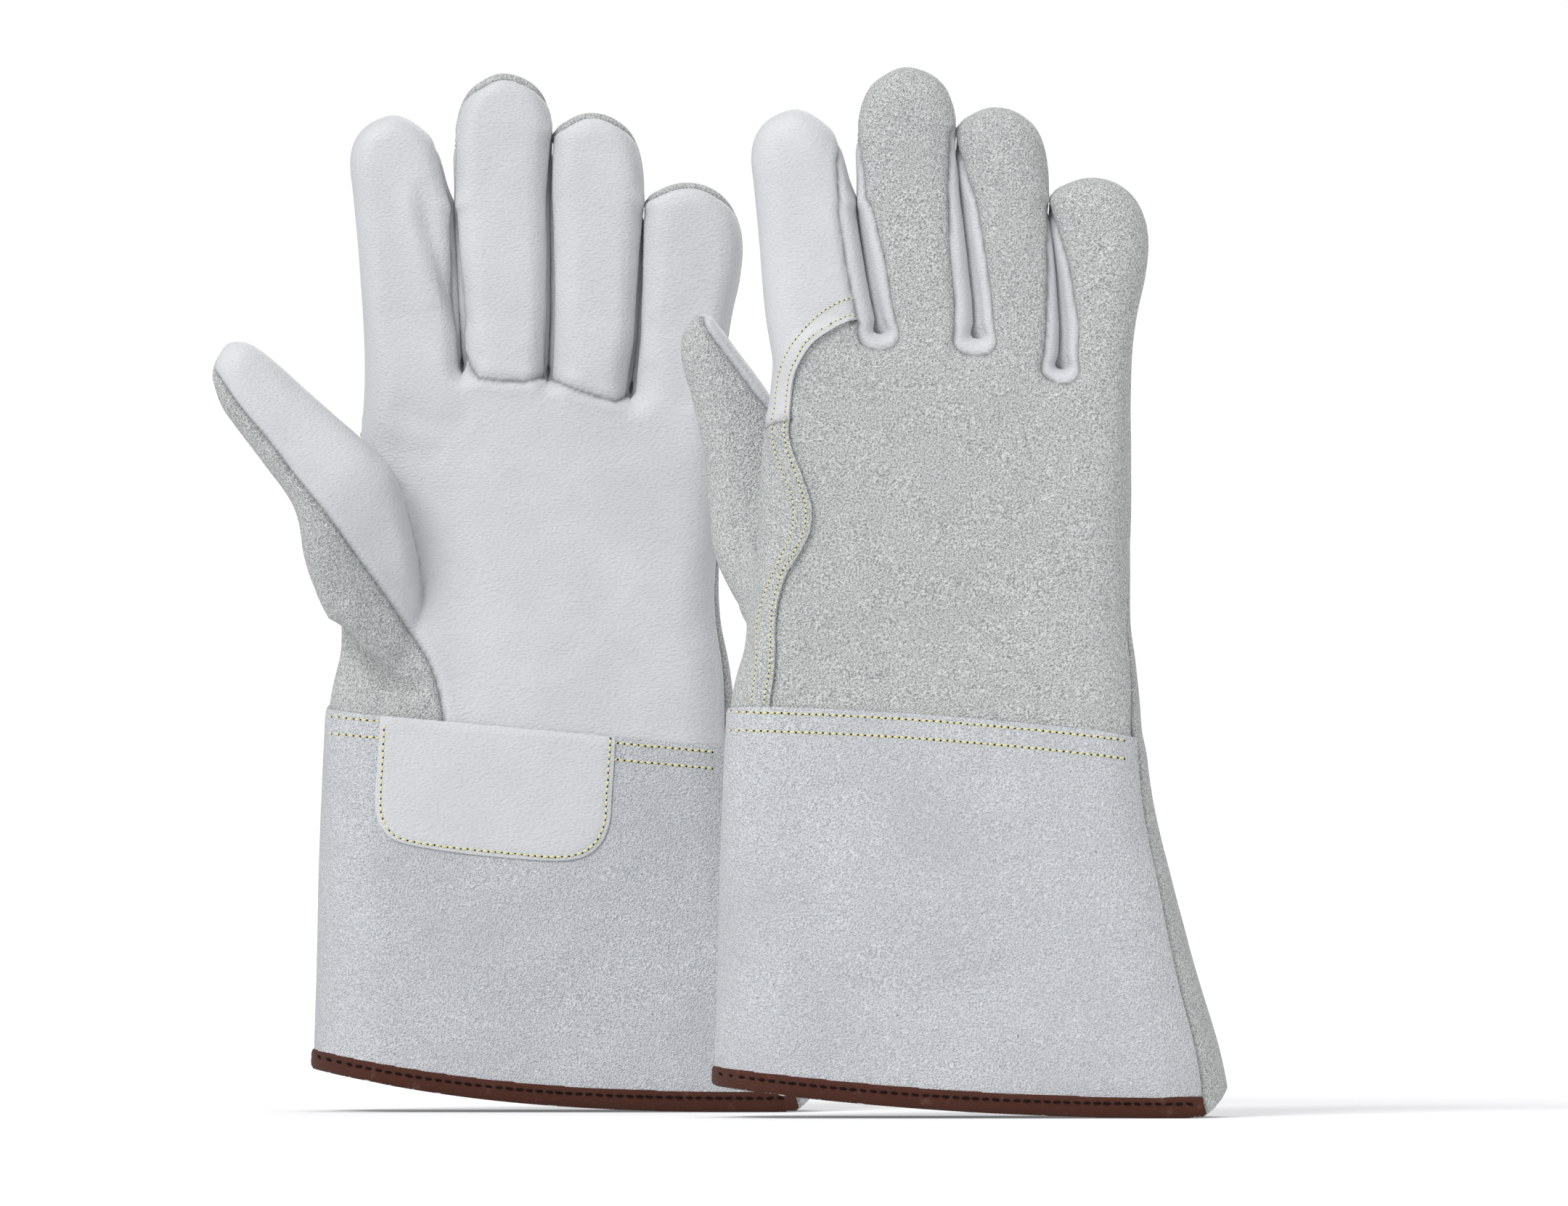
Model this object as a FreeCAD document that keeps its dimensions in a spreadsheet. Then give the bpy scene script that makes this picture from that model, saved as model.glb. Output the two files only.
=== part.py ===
"""A pair of welding gauntlets, sewn from separate leather panels.

The left glove stands behind with its palm towards -Y, and the right glove stands in front of it with its back
towards -Y. Fingers point up, +Z. Every panel is a closed solid as thick as its leather. The right glove is the
left one mirrored through the plane Y = 0 and set to the right, apart from its thumb, which splays less.
"""
import FreeCAD, Part
import math
import os
import Sketcher
from FreeCAD import Placement, Rotation, Vector

SIZES = {
    # leather and clearances
    "leather": 1.2,
    "seam_gap": 0.2,
    "thread_height": 0.6,
    "thread_width": 0.7,
    "row_inset": 2.0,
    "row_pitch": 6.2,
    # how the two gloves stand
    "pair_spacing": 135.5,
    "pair_depth": 120.0,
    "pair_shift": 8.075,
    # hand sleeve: level, centre, half width and half depth of its sections, from the wrist up
    "wrist_level": 115.0,
    "wrist_centre": -6.0,
    "wrist_half_width": 67.0,
    "wrist_half_depth": 16.5,
    "heel_level": 165.0,
    "heel_centre": -1.0,
    "heel_half_width": 62.5,
    "heel_half_depth": 15.0,
    "palm_level": 216.0,
    "palm_centre": 1.0,
    "palm_half_width": 61.0,
    "palm_half_depth": 14.0,
    "knuckle_level": 262.0,
    "knuckle_centre": 1.5,
    "knuckle_half_width": 61.5,
    "knuckle_half_depth": 12.5,
    "root_gap": 4.8,
    # lapped seam on the back of the hand, from the index finger down to the wrist
    "lap_top_across": -48.0,
    "lap_turn_across": -50.2,
    "lap_turn_up": 231.8,
    "lap_bow_across": -50.5,
    "lap_bow_up": 183.0,
    "lap_foot_across": -56.6,
    "lap_top_radius": 40.0,
    "lap_bow_radius": 46.0,
    # seam between the palm and the thumb gusset
    "thumb_seam_across": -59.0,
    "thumb_seam_up": 181.0,
    "thumb_seam_side": 187.0,
    "thumb_seam_foot": -33.0,
    # cuff sleeve, from the hem up, and its sloping seam and hem
    "hem_level": -6.0,
    "hem_centre": 10.0,
    "hem_half_width": 85.5,
    "hem_half_depth": 27.0,
    "cuff_top_level": 145.0,
    "cuff_top_centre": -4.0,
    "cuff_top_half_width": 66.5,
    "cuff_top_half_depth": 17.5,
    "seam_height": 129.5,
    "seam_fall": 0.08,
    "hem_height": 6.0,
    "hem_fall": 0.07,
    "wrist_gap": 7.0,
    "gusset_top": 9.8,
    "gusset_foot": 20.6,
    "gusset_rise": 3.0,
    "binding": 1.2,
    "binding_height": 6.8,
    # patch over the wrist seam on the palm side
    "patch_left": -52.5,
    "patch_right": 26.5,
    "patch_height": 44.0,
    "patch_corner": 13.0,
    # fourchette strips between the fingers
    "fourchette": 3.5,
    # digits: where each starts, how far it leans towards +X, its length, half width and half depth
    "index_across": -43.0,
    "index_up": 252.0,
    "index_lean": -4.0,
    "index_length": 85.5,
    "index_half_width": 15.3,
    "index_half_depth": 11.0,
    "middle_across": -9.7,
    "middle_up": 252.0,
    "middle_lean": -1.5,
    "middle_length": 98.0,
    "middle_half_width": 15.4,
    "middle_half_depth": 11.3,
    "ring_across": 21.6,
    "ring_up": 248.0,
    "ring_lean": 0.0,
    "ring_length": 88.5,
    "ring_half_width": 14.0,
    "ring_half_depth": 11.0,
    "little_across": 51.4,
    "little_up": 242.0,
    "little_lean": 2.6,
    "little_length": 71.5,
    "little_half_width": 14.4,
    "little_half_depth": 10.6,
    "thumb_forward": 25.5,
    "thumb_half_width": 15.0,
    "thumb_half_depth": 10.0,
    "thumb_length": 78.0,
    "left_thumb_across": -57.0,
    "left_thumb_up": 191.0,
    "left_thumb_lean": -37.0,
    "right_thumb_across": -60.0,
    "right_thumb_up": 192.0,
    "right_thumb_lean": -14.6,
}
FAR = 110.0  # a reach past the outside of either sleeve
PALM, BACK = Vector(0, -1, 0), Vector(0, 1, 0)
DOME_ANGLES = (30.0, 52.0, 70.0, 82.0)

doc = FreeCAD.newDocument("WeldingGloves")
sheet = doc.addObject("Spreadsheet::Sheet", "Sizes")
for row, (alias, number) in enumerate(SIZES.items(), start=1):
    sheet.set(f"A{row}", alias)
    sheet.set(f"B{row}", str(number))
    sheet.setAlias(f"B{row}", alias)
doc.recompute()


class Size:
    """A length that carries its value now and the spreadsheet expression that gives it."""

    def __init__(self, value, text):
        self.value = float(value)
        self.text = text

    def __add__(self, other):
        other = as_size(other)
        return Size(self.value + other.value, f"({self.text} + {other.text})")

    def __sub__(self, other):
        other = as_size(other)
        return Size(self.value - other.value, f"({self.text} - {other.text})")

    def __mul__(self, other):
        other = as_size(other)
        return Size(self.value * other.value, f"({self.text} * {other.text})")

    def __neg__(self):
        return self * -1.0


def as_size(number):
    return number if isinstance(number, Size) else Size(number, f"({float(number)!r})")


def cell(alias):
    return Size(sheet.get(alias), f"Sizes.{alias}")


def bind(thing, path, size):
    thing.setExpression(path, as_size(size).text)


# ---- sketches ----------------------------------------------------------------------------------------------


def slot_section(body, level, centre, half_width, half_depth):
    """A slot outline at a level of the body: two straight sides joined by half circles."""
    sketch = body.newObject("Sketcher::SketchObject", "Section")
    plane = next(f for f in body.Origin.OriginFeatures if f.Role == "XY_Plane")
    sketch.AttachmentSupport = (plane, "")
    sketch.MapMode = "FlatFace"
    bind(sketch, "AttachmentOffset.Base.x", centre)
    bind(sketch, "AttachmentOffset.Base.z", level)
    flat, radius = half_width - half_depth, half_depth
    f, r = flat.value, radius.value
    up = Vector(0, 0, 1)
    sketch.addGeometry(
        [
            Part.LineSegment(Vector(-f, -r, 0), Vector(f, -r, 0)),
            Part.ArcOfCircle(Part.Circle(Vector(f, 0, 0), up, r), -math.pi / 2, math.pi / 2),
            Part.LineSegment(Vector(f, r, 0), Vector(-f, r, 0)),
            Part.ArcOfCircle(Part.Circle(Vector(-f, 0, 0), up, r), math.pi / 2, 3 * math.pi / 2),
        ],
        False,
    )
    for first, second, end in ((0, 1, 1), (1, 2, 1), (2, 3, 1), (3, 0, 1)):
        sketch.addConstraint(Sketcher.Constraint("Tangent", first, 2, second, end))
    sketch.addConstraint(Sketcher.Constraint("Symmetric", 1, 3, 3, 3, -1, 1))
    sketch.addConstraint(Sketcher.Constraint("PointOnObject", 1, 3, -1))
    width = sketch.addConstraint(Sketcher.Constraint("DistanceX", 3, 3, 1, 3, 2 * f))
    round_end = sketch.addConstraint(Sketcher.Constraint("Radius", 1, r))
    sketch.renameConstraint(width, "between_centres")
    sketch.renameConstraint(round_end, "round_end")
    bind(sketch, "Constraints.between_centres", flat * 2.0)
    bind(sketch, "Constraints.round_end", radius)
    return sketch


def arc_between(start, end, radius):
    """The shorter arc from start to end; a positive radius bows to the right of the way from start to end."""
    if radius < 0:
        start, end = end, start
    chord = end - start
    reach = math.sqrt(radius * radius - chord.Length ** 2 / 4)
    centre = start + chord * 0.5 + Vector(-chord.y, chord.x, 0).normalize() * reach
    first, last = (math.atan2(point.y - centre.y, point.x - centre.x) for point in (start, end))
    return Part.ArcOfCircle(Part.Circle(centre, Vector(0, 0, 1), abs(radius)), first, last)


def pattern(label, corners):
    """A closed outline in the plane of the glove. A corner is (x, z) or (x, z, radius of the arc that follows)."""
    sketch = doc.addObject("Sketcher::SketchObject", label)
    sketch.Placement = Placement(Vector(0, 0, 0), Rotation(Vector(1, 0, 0), 90))
    corners = [tuple(as_size(value) for value in corner) for corner in corners]
    points = [Vector(corner[0].value, corner[1].value, 0) for corner in corners]
    count = len(corners)
    ends = {}
    for i, corner in enumerate(corners):
        start, end = points[i], points[(i + 1) % count]
        if len(corner) == 2:
            sketch.addGeometry(Part.LineSegment(start, end), False)
            ends[i] = (1, 2)
            continue
        sketch.addGeometry(arc_between(start, end, corner[2].value), False)
        ends[i] = (1, 2) if corner[2].value > 0 else (2, 1)
    for i in range(count):
        after = (i + 1) % count
        sketch.addConstraint(Sketcher.Constraint("Coincident", i, ends[i][1], after, ends[after][0]))
    for i, corner in enumerate(corners):
        for kind, size in (("DistanceX", corner[0]), ("DistanceY", corner[1])):
            made = sketch.addConstraint(Sketcher.Constraint(kind, -1, 1, i, ends[i][0], size.value))
            name = f"{kind.lower()}_{i}"
            sketch.renameConstraint(made, name)
            bind(sketch, f"Constraints.{name}", size)
        if len(corner) == 3:
            made = sketch.addConstraint(Sketcher.Constraint("Radius", i, abs(corner[2].value)))
            sketch.renameConstraint(made, f"radius_{i}")
            sign = math.copysign(1.0, corner[2].value)
            bind(sketch, f"Constraints.radius_{i}", corner[2] * sign)
    return sketch


# ---- solids ------------------------------------------------------------------------------------------------


def add_loft(body, kind, sections):
    sketches = [slot_section(body, *section) for section in sections]
    loft = body.newObject(f"PartDesign::{kind}", kind)
    loft.Profile = sketches[0]
    loft.Sections = sketches[1:]
    loft.Ruled = True
    for sketch in sketches:
        sketch.Visibility = False
    return loft


def sleeve(label, outer, inner):
    """A hollow tube: one loft through the outer sections, less one through the inner sections."""
    body = doc.addObject("PartDesign::Body", label)
    add_loft(body, "AdditiveLoft", outer)
    add_loft(body, "SubtractiveLoft", inner)
    return body


def open_sleeve(label, names, grow, wall):
    """A tube open at both ends through named sections, grown outwards, with the given wall."""
    def at(offset):
        return [
            (
                cell(f"{name}_level"),
                cell(f"{name}_centre"),
                cell(f"{name}_half_width") + offset,
                cell(f"{name}_half_depth") + offset,
            )
            for name in names
        ]
    grow = as_size(grow)
    return sleeve(label, at(grow), at(grow - wall))


def digit_sleeve(digit):
    """A finger sheath: straight from its base, with a domed tip."""
    def at(inset):
        wide = cell(f"{digit}_half_width") - inset
        deep = cell(f"{digit}_half_depth") - inset
        shoulder = cell(f"{digit}_length") - cell(f"{digit}_half_width")
        levels = [(as_size(0.0), as_size(0.0), wide, deep), (shoulder, as_size(0.0), wide, deep)]
        for angle in map(math.radians, DOME_ANGLES):
            level = shoulder + wide * math.sin(angle)
            levels.append((level, as_size(0.0), wide * math.cos(angle), deep * math.cos(angle)))
        return levels
    return sleeve(f"{digit}_sheath", at(0.0), at(cell("leather")))


def block(label, start, lengths):
    """A box between start and start + lengths, each a triple of sizes."""
    box = doc.addObject("Part::Box", label)
    for axis, place, side, length in zip("xyz", start, ("Length", "Width", "Height"), lengths):
        bind(box, f"Placement.Base.{axis}", place)
        bind(box, side, length)
    return box


def raise_pattern(label, sketch, towards, length=FAR, back=0.0):
    """The solid that a pattern sweeps out from the glove's middle plane."""
    solid = doc.addObject("Part::Extrusion", label)
    solid.Base = sketch
    solid.DirMode = "Custom"
    solid.Dir = towards
    solid.Solid = True
    bind(solid, "LengthFwd", length)
    bind(solid, "LengthRev", back)
    return solid


def combine(kind, label, base, tool):
    """Part::Cut or Part::Common of two objects."""
    made = doc.addObject(f"Part::{kind}", label)
    made.Base = base
    made.Tool = tool
    return made


def fuse(label, *shapes):
    made = doc.addObject("Part::MultiFuse", label)
    made.Shapes = list(shapes)
    return made


# ---- lines that several panels share ------------------------------------------------------------------------


def seam_z(x, above=0.0):
    """Height of the sloping wrist seam at x."""
    return cell("seam_height") - cell("seam_fall") * x + above


def hem_z(x, above=0.0):
    """Height of the sloping hem at x."""
    return cell("hem_height") - cell("hem_fall") * x + above


def band(label, height_at, low, high):
    """A slanting slice right through the glove, between two offsets from a sloping line."""
    corners = [
        (-FAR, height_at(-FAR, low)),
        (FAR, height_at(FAR, low)),
        (FAR, height_at(FAR, high)),
        (-FAR, height_at(-FAR, high)),
    ]
    return raise_pattern(f"{label}_slice", pattern(f"{label}_edges", corners), PALM, FAR, FAR)


def lap_line(shift, top, down=True):
    """The lapped seam on the back of the hand, moved sideways: down to the wrist, or up from it."""
    head = (cell("lap_top_across") + shift, cell("middle_up") - cell("root_gap"))
    turn = (cell("lap_turn_across") + shift, cell("lap_turn_up"))
    bow = (cell("lap_bow_across") + shift, cell("lap_bow_up"))
    foot = (cell("lap_foot_across") + shift, seam_z(cell("lap_foot_across"), cell("wrist_gap")))
    if down:
        line = [(*turn, -cell("lap_bow_radius")), bow, foot]
        return [(*head, cell("lap_top_radius")), *line] if top else line
    line = [foot, (*bow, cell("lap_bow_radius"))]
    return [*line, (*turn, -cell("lap_top_radius")), head] if top else [*line, turn]


def hand_top():
    """The stepped upper edge of the hand panels, just under the finger hinges, from right to left."""
    gap = cell("root_gap")
    steps = []
    for left, right in (("ring", "little"), ("middle", "ring")):
        x = (cell(f"{left}_across") + cell(f"{left}_half_width") + cell(f"{right}_across")
             - cell(f"{right}_half_width")) * 0.5
        steps += [(x, cell(f"{right}_up") - gap), (x, cell(f"{left}_up") - gap)]
    return [(FAR, cell("little_up") - gap)] + steps


# ---- the hand ----------------------------------------------------------------------------------------------

HAND = ("wrist", "heel", "palm", "knuckle")


def hand_panels():
    """Panels sewn round the palm and the back of the hand, in the left glove's own frame."""
    gap, thread = cell("seam_gap"), cell("thread_height")
    shell = open_sleeve("hand_sheath", HAND, 0.0, cell("leather"))
    index_top = cell("index_up") - cell("root_gap")
    foot = cell("wrist_gap")
    seam_across, seam_up = cell("thumb_seam_across"), cell("thumb_seam_up")
    seam_side, seam_foot = cell("thumb_seam_side"), cell("thumb_seam_foot")
    turn_across, turn_up = cell("lap_turn_across"), cell("lap_turn_up")

    palm = pattern("palm_pattern", [
        (-FAR, index_top),
        (-FAR, seam_side),
        (seam_across, seam_up),
        (seam_foot, seam_z(seam_foot, foot)),
        (FAR, seam_z(FAR, foot)),
        *hand_top(),
    ])
    palm_side = raise_pattern("palm_side", palm, PALM)
    combine("Common", "palm_panel", shell, combine("Cut", "palm_inside_seam", palm_side, middle_slab()))

    back = pattern("back_pattern", [
        *lap_line(gap, top=True),
        (FAR, seam_z(FAR, foot)),
        *hand_top(),
    ])
    back_side = raise_pattern("back_side", back, BACK)
    combine("Common", "back_panel", shell, combine("Cut", "back_inside_seam", back_side, middle_slab()))

    root = pattern("index_root_pattern", [
        (-FAR, index_top),
        (-FAR, turn_up),
        (turn_across, turn_up, -cell("lap_top_radius")),
        (cell("lap_top_across"), index_top),
    ])
    root_side = raise_pattern("index_root_side", root, BACK)
    combine("Common", "index_wrap_root", shell, combine("Cut", "root_inside_seam", root_side, middle_slab()))

    behind = pattern("gusset_back_pattern", [
        (-FAR, turn_up - gap),
        (-FAR, seam_z(-FAR, foot)),
        *lap_line(0.0, top=False, down=False)[:-1],
        (turn_across, turn_up - gap),
    ])
    before = pattern("gusset_palm_pattern", [
        (-FAR, seam_side - gap),
        (-FAR, seam_z(-FAR, foot)),
        (seam_foot - gap, seam_z(seam_foot, foot)),
        (seam_across - gap, seam_up - gap),
    ])
    both = fuse("gusset_sides", raise_pattern("gusset_behind", behind, BACK),
                raise_pattern("gusset_before", before, PALM))
    combine("Common", "thumb_gusset", shell, both)

    rows = []
    for number in range(2):
        near = -(cell("row_inset") + cell("row_pitch") * float(number))
        far = near - cell("thread_width")
        strip = pattern(f"lap_row_{number}", [*lap_line(far, True), *lap_line(near, True, down=False)])
        rows.append(raise_pattern(f"lap_row_{number}_side", strip, BACK))
    outside = open_sleeve("hand_thread_layer", HAND, gap + thread, thread)
    combine("Common", "back_seam_thread", outside, fuse("lap_rows", *rows))


def middle_slab():
    """A thin slab at the side seams, where palm and back panels meet without touching."""
    gap = cell("seam_gap")
    return block("side_seam", (-FAR, gap * -0.5, -FAR), (2 * FAR, gap, 5 * FAR))


# ---- fingers and thumb -------------------------------------------------------------------------------------


def side_strip(digit, side, gap=0.0):
    """The space of a fourchette: a strip down one side of a finger, left (-1) or right (+1)."""
    half = cell("fourchette") + gap
    x = cell(f"{digit}_half_width") * 0.5 if side > 0 else as_size(-FAR)
    reach = cell(f"{digit}_length") - cell(f"{digit}_half_width") * 0.45 + gap
    width = as_size(FAR) if side > 0 else as_size(FAR) - cell(f"{digit}_half_width") * 0.5
    return block(f"{digit}_strip", (x, -half, -1.0), (width, half * 2.0, reach))


def half_space(digit, towards_palm, edge):
    """Everything on the palm side, or the back side, beyond edge from the middle plane."""
    y = as_size(-FAR) if towards_palm else edge
    return block(f"{digit}_half", (-FAR, y, -1.0), (2 * FAR, as_size(FAR) - edge, 2 * FAR))


def finger_panels():
    gap = cell("seam_gap")
    edge = gap * 0.5

    sheath = digit_sleeve("index")
    strip = side_strip("index", 1)
    combine("Cut", "index_wrap", sheath, side_strip("index", 1, gap))
    combine("Common", "index_fourchette", sheath, strip)

    for digit, strips in (("middle", (-1, 1)), ("ring", (-1, 1)), ("little", (-1,))):
        sheath = digit_sleeve(digit)
        cleared = sheath
        for side in strips:
            cleared = combine("Cut", f"{digit}_cleared", cleared, side_strip(digit, side, gap))
        combine("Common", f"{digit}_front", cleared, half_space(digit, True, edge))
        combine("Common", f"{digit}_back", cleared, half_space(digit, False, edge))
        walls = [combine("Common", f"{digit}_wall", sheath, side_strip(digit, side)) for side in strips]
        if len(walls) == 1:
            walls[0].Label = f"{digit}_fourchette"
        else:
            fuse(f"{digit}_fourchettes", *walls)


def thumb_panels():
    edge = cell("seam_gap") * 0.5
    sheath = digit_sleeve("thumb")
    for use in ("left", "unmirrored"):
        combine("Common", f"{use}_thumb_front", sheath, half_space("thumb", True, edge))
        combine("Common", f"{use}_thumb_back", sheath, half_space("thumb", False, edge))


# ---- the cuff ----------------------------------------------------------------------------------------------

CUFF = ("hem", "cuff_top")


def gusset_wedge(label, grow):
    """The wedge that the side gusset fills: narrow at the wrist, wide at the hem."""
    top, foot = cell("gusset_top") + grow, cell("gusset_foot") + grow
    low, high = cell("hem_level") - 5.0, cell("cuff_top_level") + 5.0
    wedge = doc.addObject("Part::Extrusion", label)
    wedge.Base = pattern(f"{label}_edges", [(-foot, low), (foot, low), (top, high), (-top, high)])
    wedge.Base.Placement = Placement(Vector(30, 0, 0), Rotation(Vector(1, 1, 1), 120))
    wedge.DirMode = "Custom"
    wedge.Dir = Vector(1, 0, 0)
    wedge.Solid = True
    bind(wedge, "LengthFwd", FAR)
    return wedge


def patch_outline(label, inset, top):
    """The patch's outline pulled in by inset: square at the wrist seam, rounded below."""
    left, right = cell("patch_left") + inset, cell("patch_right") - inset
    foot = cell("patch_height") - inset
    corner = cell("patch_corner") - inset
    return [
        (left, seam_z(left, top)),
        (left, seam_z(left, corner - foot), corner),
        (left + corner, seam_z(left + corner, -foot)),
        (right - corner, seam_z(right - corner, -foot), corner),
        (right, seam_z(right, corner - foot)),
        (right, seam_z(right, top)),
    ]


def cuff_panels():
    gap, leather, thread = cell("seam_gap"), cell("leather"), cell("thread_height")
    binding = cell("binding")
    wall = open_sleeve("cuff_sheath", CUFF, 0.0, leather)
    body = band("cuff_body", lambda x, above: seam_z(x) if above else hem_z(x, binding + gap), 0, 1)
    outside_gusset = gusset_wedge("gusset_opening", gap)
    for name, towards_palm in (("cuff_palm_side", True), ("cuff_back_side", False)):
        half = half_space(name, towards_palm, gap * 0.5)
        bind(half, "Placement.Base.z", -FAR)
        bind(half, "Height", 4 * FAR)
        trimmed = combine("Common", f"{name}_half", body, half)
        blank = combine("Common", f"{name}_blank", wall, trimmed)
        combine("Cut", name, blank, outside_gusset)

    gusset_body = band("gusset_body", lambda x, above: seam_z(x) if above else
                       hem_z(x, cell("gusset_rise")), 0, 1)
    blank = combine("Common", "side_gusset_blank", wall, gusset_body)
    combine("Common", "cuff_side_gusset", blank, gusset_wedge("gusset_shape", 0.0))

    thick = open_sleeve("binding_layer", CUFF, binding + gap, leather + (binding + gap) * 2.0)
    tape = combine("Common", "binding_tape", thick, band("binding_band", hem_z, 0.0, cell("binding_height")))
    groove = open_sleeve("binding_groove", CUFF, gap * 0.5, leather + gap)
    slot = combine("Common", "binding_slot", groove, band("slot_band", hem_z, binding, FAR))
    folded = combine("Cut", "binding_folded", tape, slot)
    combine("Cut", "hem_binding", folded, outside_gusset)

    on_binding = open_sleeve("hem_thread_layer", CUFF, binding + gap * 2.0 + thread, thread)
    middle = cell("binding_height") * 0.5
    hem_row = combine("Common", "hem_row", on_binding, band("hem_row", hem_z, middle, middle + cell("thread_width")))
    combine("Cut", "hem_thread", hem_row, outside_gusset)

    patch_layer = open_sleeve("patch_layer", CUFF, gap + leather, leather)
    patch = raise_pattern("patch_side", pattern("patch_pattern", patch_outline("patch", 0.0, 0.0)), PALM)
    combine("Common", "wrist_patch", patch_layer, patch)

    inset = cell("row_inset")
    outer = patch_outline("patch_row", inset, -gap)
    inner = patch_outline("patch_row", inset + cell("thread_width"), -gap)
    inner.reverse()
    turned = []
    for number, corner in enumerate(inner):
        before = inner[number + 1] if number + 1 < len(inner) else ()
        turned.append((*corner[:2], -before[2]) if len(before) == 3 else corner[:2])
    row = raise_pattern("patch_row_side", pattern("patch_row_pattern", [*outer, *turned]), PALM)
    row_layer = open_sleeve("patch_row_layer", CUFF, leather + gap * 2.0 + thread, thread)
    combine("Common", "patch_thread", row_layer, row)

    rows = []
    for number in range(2):
        top = -(cell("row_inset") + cell("row_pitch") * float(number))
        rows.append(band(f"cuff_row_{number}", seam_z, top - cell("thread_width"), top))
    row_layer = open_sleeve("cuff_row_layer", CUFF, gap + thread, thread)
    both = combine("Common", "cuff_rows", row_layer, fuse("cuff_row_bands", *rows))
    open_side = combine("Cut", "cuff_rows_open", both, outside_gusset)
    around = pattern("patch_clear_pattern", patch_outline("patch_clear", -0.3, 1.0))
    combine("Cut", "cuff_thread", open_side, raise_pattern("patch_clear_side", around, PALM))


# ---- the pair ----------------------------------------------------------------------------------------------

HAND_NODES = ("palm_panel", "back_panel", "index_wrap_root", "thumb_gusset", "back_seam_thread")
DIGIT_NODES = {
    "index": ("index_wrap", "index_fourchette"),
    "middle": ("middle_front", "middle_back", "middle_fourchettes"),
    "ring": ("ring_front", "ring_back", "ring_fourchettes"),
    "little": ("little_front", "little_back", "little_fourchette"),
}
CUFF_NODES = ("cuff_palm_side", "cuff_back_side", "cuff_side_gusset", "hem_binding", "hem_thread",
              "wrist_patch", "patch_thread", "cuff_thread")


def find(label):
    return doc.getObjectsByLabel(label)[0]


def place(thing, across, up, lean=None, forward=0.0):
    """Stands a panel in the left glove: across and up in the glove's own frame, leaning towards +X."""
    if lean is not None:
        thing.Placement = Placement(Vector(0, 0, 0), Rotation(Vector(0, 1, 0), 1))
        bind(thing, "Placement.Rotation.Angle", lean)
    bind(thing, "Placement.Base.x", across + cell("pair_shift") - cell("pair_spacing") * 0.5)
    bind(thing, "Placement.Base.y", cell("pair_depth") * 0.5 - forward)
    bind(thing, "Placement.Base.z", up)


def mirrored(source, label):
    """The same panel of the right glove."""
    made = doc.addObject("Part::Mirroring", label)
    made.Source = source
    made.Base = Vector(0, 0, 0)
    made.Normal = Vector(0, 1, 0)
    bind(made, "Placement.Base.x", cell("pair_spacing"))
    return made


def pair_up():
    """Places every panel of the left glove, makes the right glove's, and returns the finished sub-parts."""
    parts = []
    for name in HAND_NODES + CUFF_NODES:
        place(find(name), as_size(0.0), as_size(0.0))
    for digit, names in DIGIT_NODES.items():
        for name in names:
            place(find(name), cell(f"{digit}_across"), cell(f"{digit}_up"), cell(f"{digit}_lean"))
    for name in (*HAND_NODES, *CUFF_NODES, *(n for names in DIGIT_NODES.values() for n in names)):
        source = find(name)
        parts.append(mirrored(source, f"right_{name}"))
        source.Label = f"left_{name}"
        parts.append(source)
    for hand, use in (("left", "left"), ("right", "unmirrored")):
        for face in ("front", "back"):
            panel = find(f"{use}_thumb_{face}")
            place(panel, cell(f"{hand}_thumb_across"), cell(f"{hand}_thumb_up"), cell(f"{hand}_thumb_lean"),
                  cell("thumb_forward"))
            parts.append(panel if hand == "left" else mirrored(panel, f"right_thumb_{face}"))
    return parts


def check(parts):
    """Stops with a plain message if an object failed or a sub-part isn't made of sound solids."""
    failed = [o.Label for o in doc.Objects if {"Invalid", "Error"} & set(o.State)]
    if failed:
        raise RuntimeError(f"these objects failed: {failed}")
    for part in parts:
        shape = part.Shape
        if shape.isNull() or not shape.isValid() or not shape.Solids or shape.Volume <= 0:
            raise RuntimeError(f"{part.Label} is not a sound solid")


hand_panels()
finger_panels()
thumb_panels()
cuff_panels()
doc.recompute()
finished = pair_up()
doc.recompute()
check(finished)
os.makedirs("parts", exist_ok=True)
for part in finished:
    part.Shape.exportStep(f"parts/{part.Label}.step")
    print(f"{part.Label}: {len(part.Shape.Solids)} solid(s), {part.Shape.Volume:.0f} mm3")
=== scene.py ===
import math

import bpy
import numpy as np
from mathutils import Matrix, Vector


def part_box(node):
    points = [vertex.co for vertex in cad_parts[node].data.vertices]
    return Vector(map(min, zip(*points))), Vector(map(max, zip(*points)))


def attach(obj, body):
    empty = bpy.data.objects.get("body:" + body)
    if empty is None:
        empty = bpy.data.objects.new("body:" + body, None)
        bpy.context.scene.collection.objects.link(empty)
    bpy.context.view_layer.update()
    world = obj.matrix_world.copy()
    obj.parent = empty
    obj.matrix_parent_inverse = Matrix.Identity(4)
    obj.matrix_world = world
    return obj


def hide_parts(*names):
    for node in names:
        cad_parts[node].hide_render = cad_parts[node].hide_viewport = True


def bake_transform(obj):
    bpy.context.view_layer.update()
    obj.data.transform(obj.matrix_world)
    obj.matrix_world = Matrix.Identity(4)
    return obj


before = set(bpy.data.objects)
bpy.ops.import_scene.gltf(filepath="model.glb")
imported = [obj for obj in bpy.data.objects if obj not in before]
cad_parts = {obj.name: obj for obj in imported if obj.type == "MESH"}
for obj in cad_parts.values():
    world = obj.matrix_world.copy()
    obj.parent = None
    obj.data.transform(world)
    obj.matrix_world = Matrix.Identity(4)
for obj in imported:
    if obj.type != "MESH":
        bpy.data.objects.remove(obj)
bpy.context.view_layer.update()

import openvdb
from mathutils import Vector
from mathutils.bvhtree import BVHTree
from mathutils.kdtree import KDTree

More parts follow.
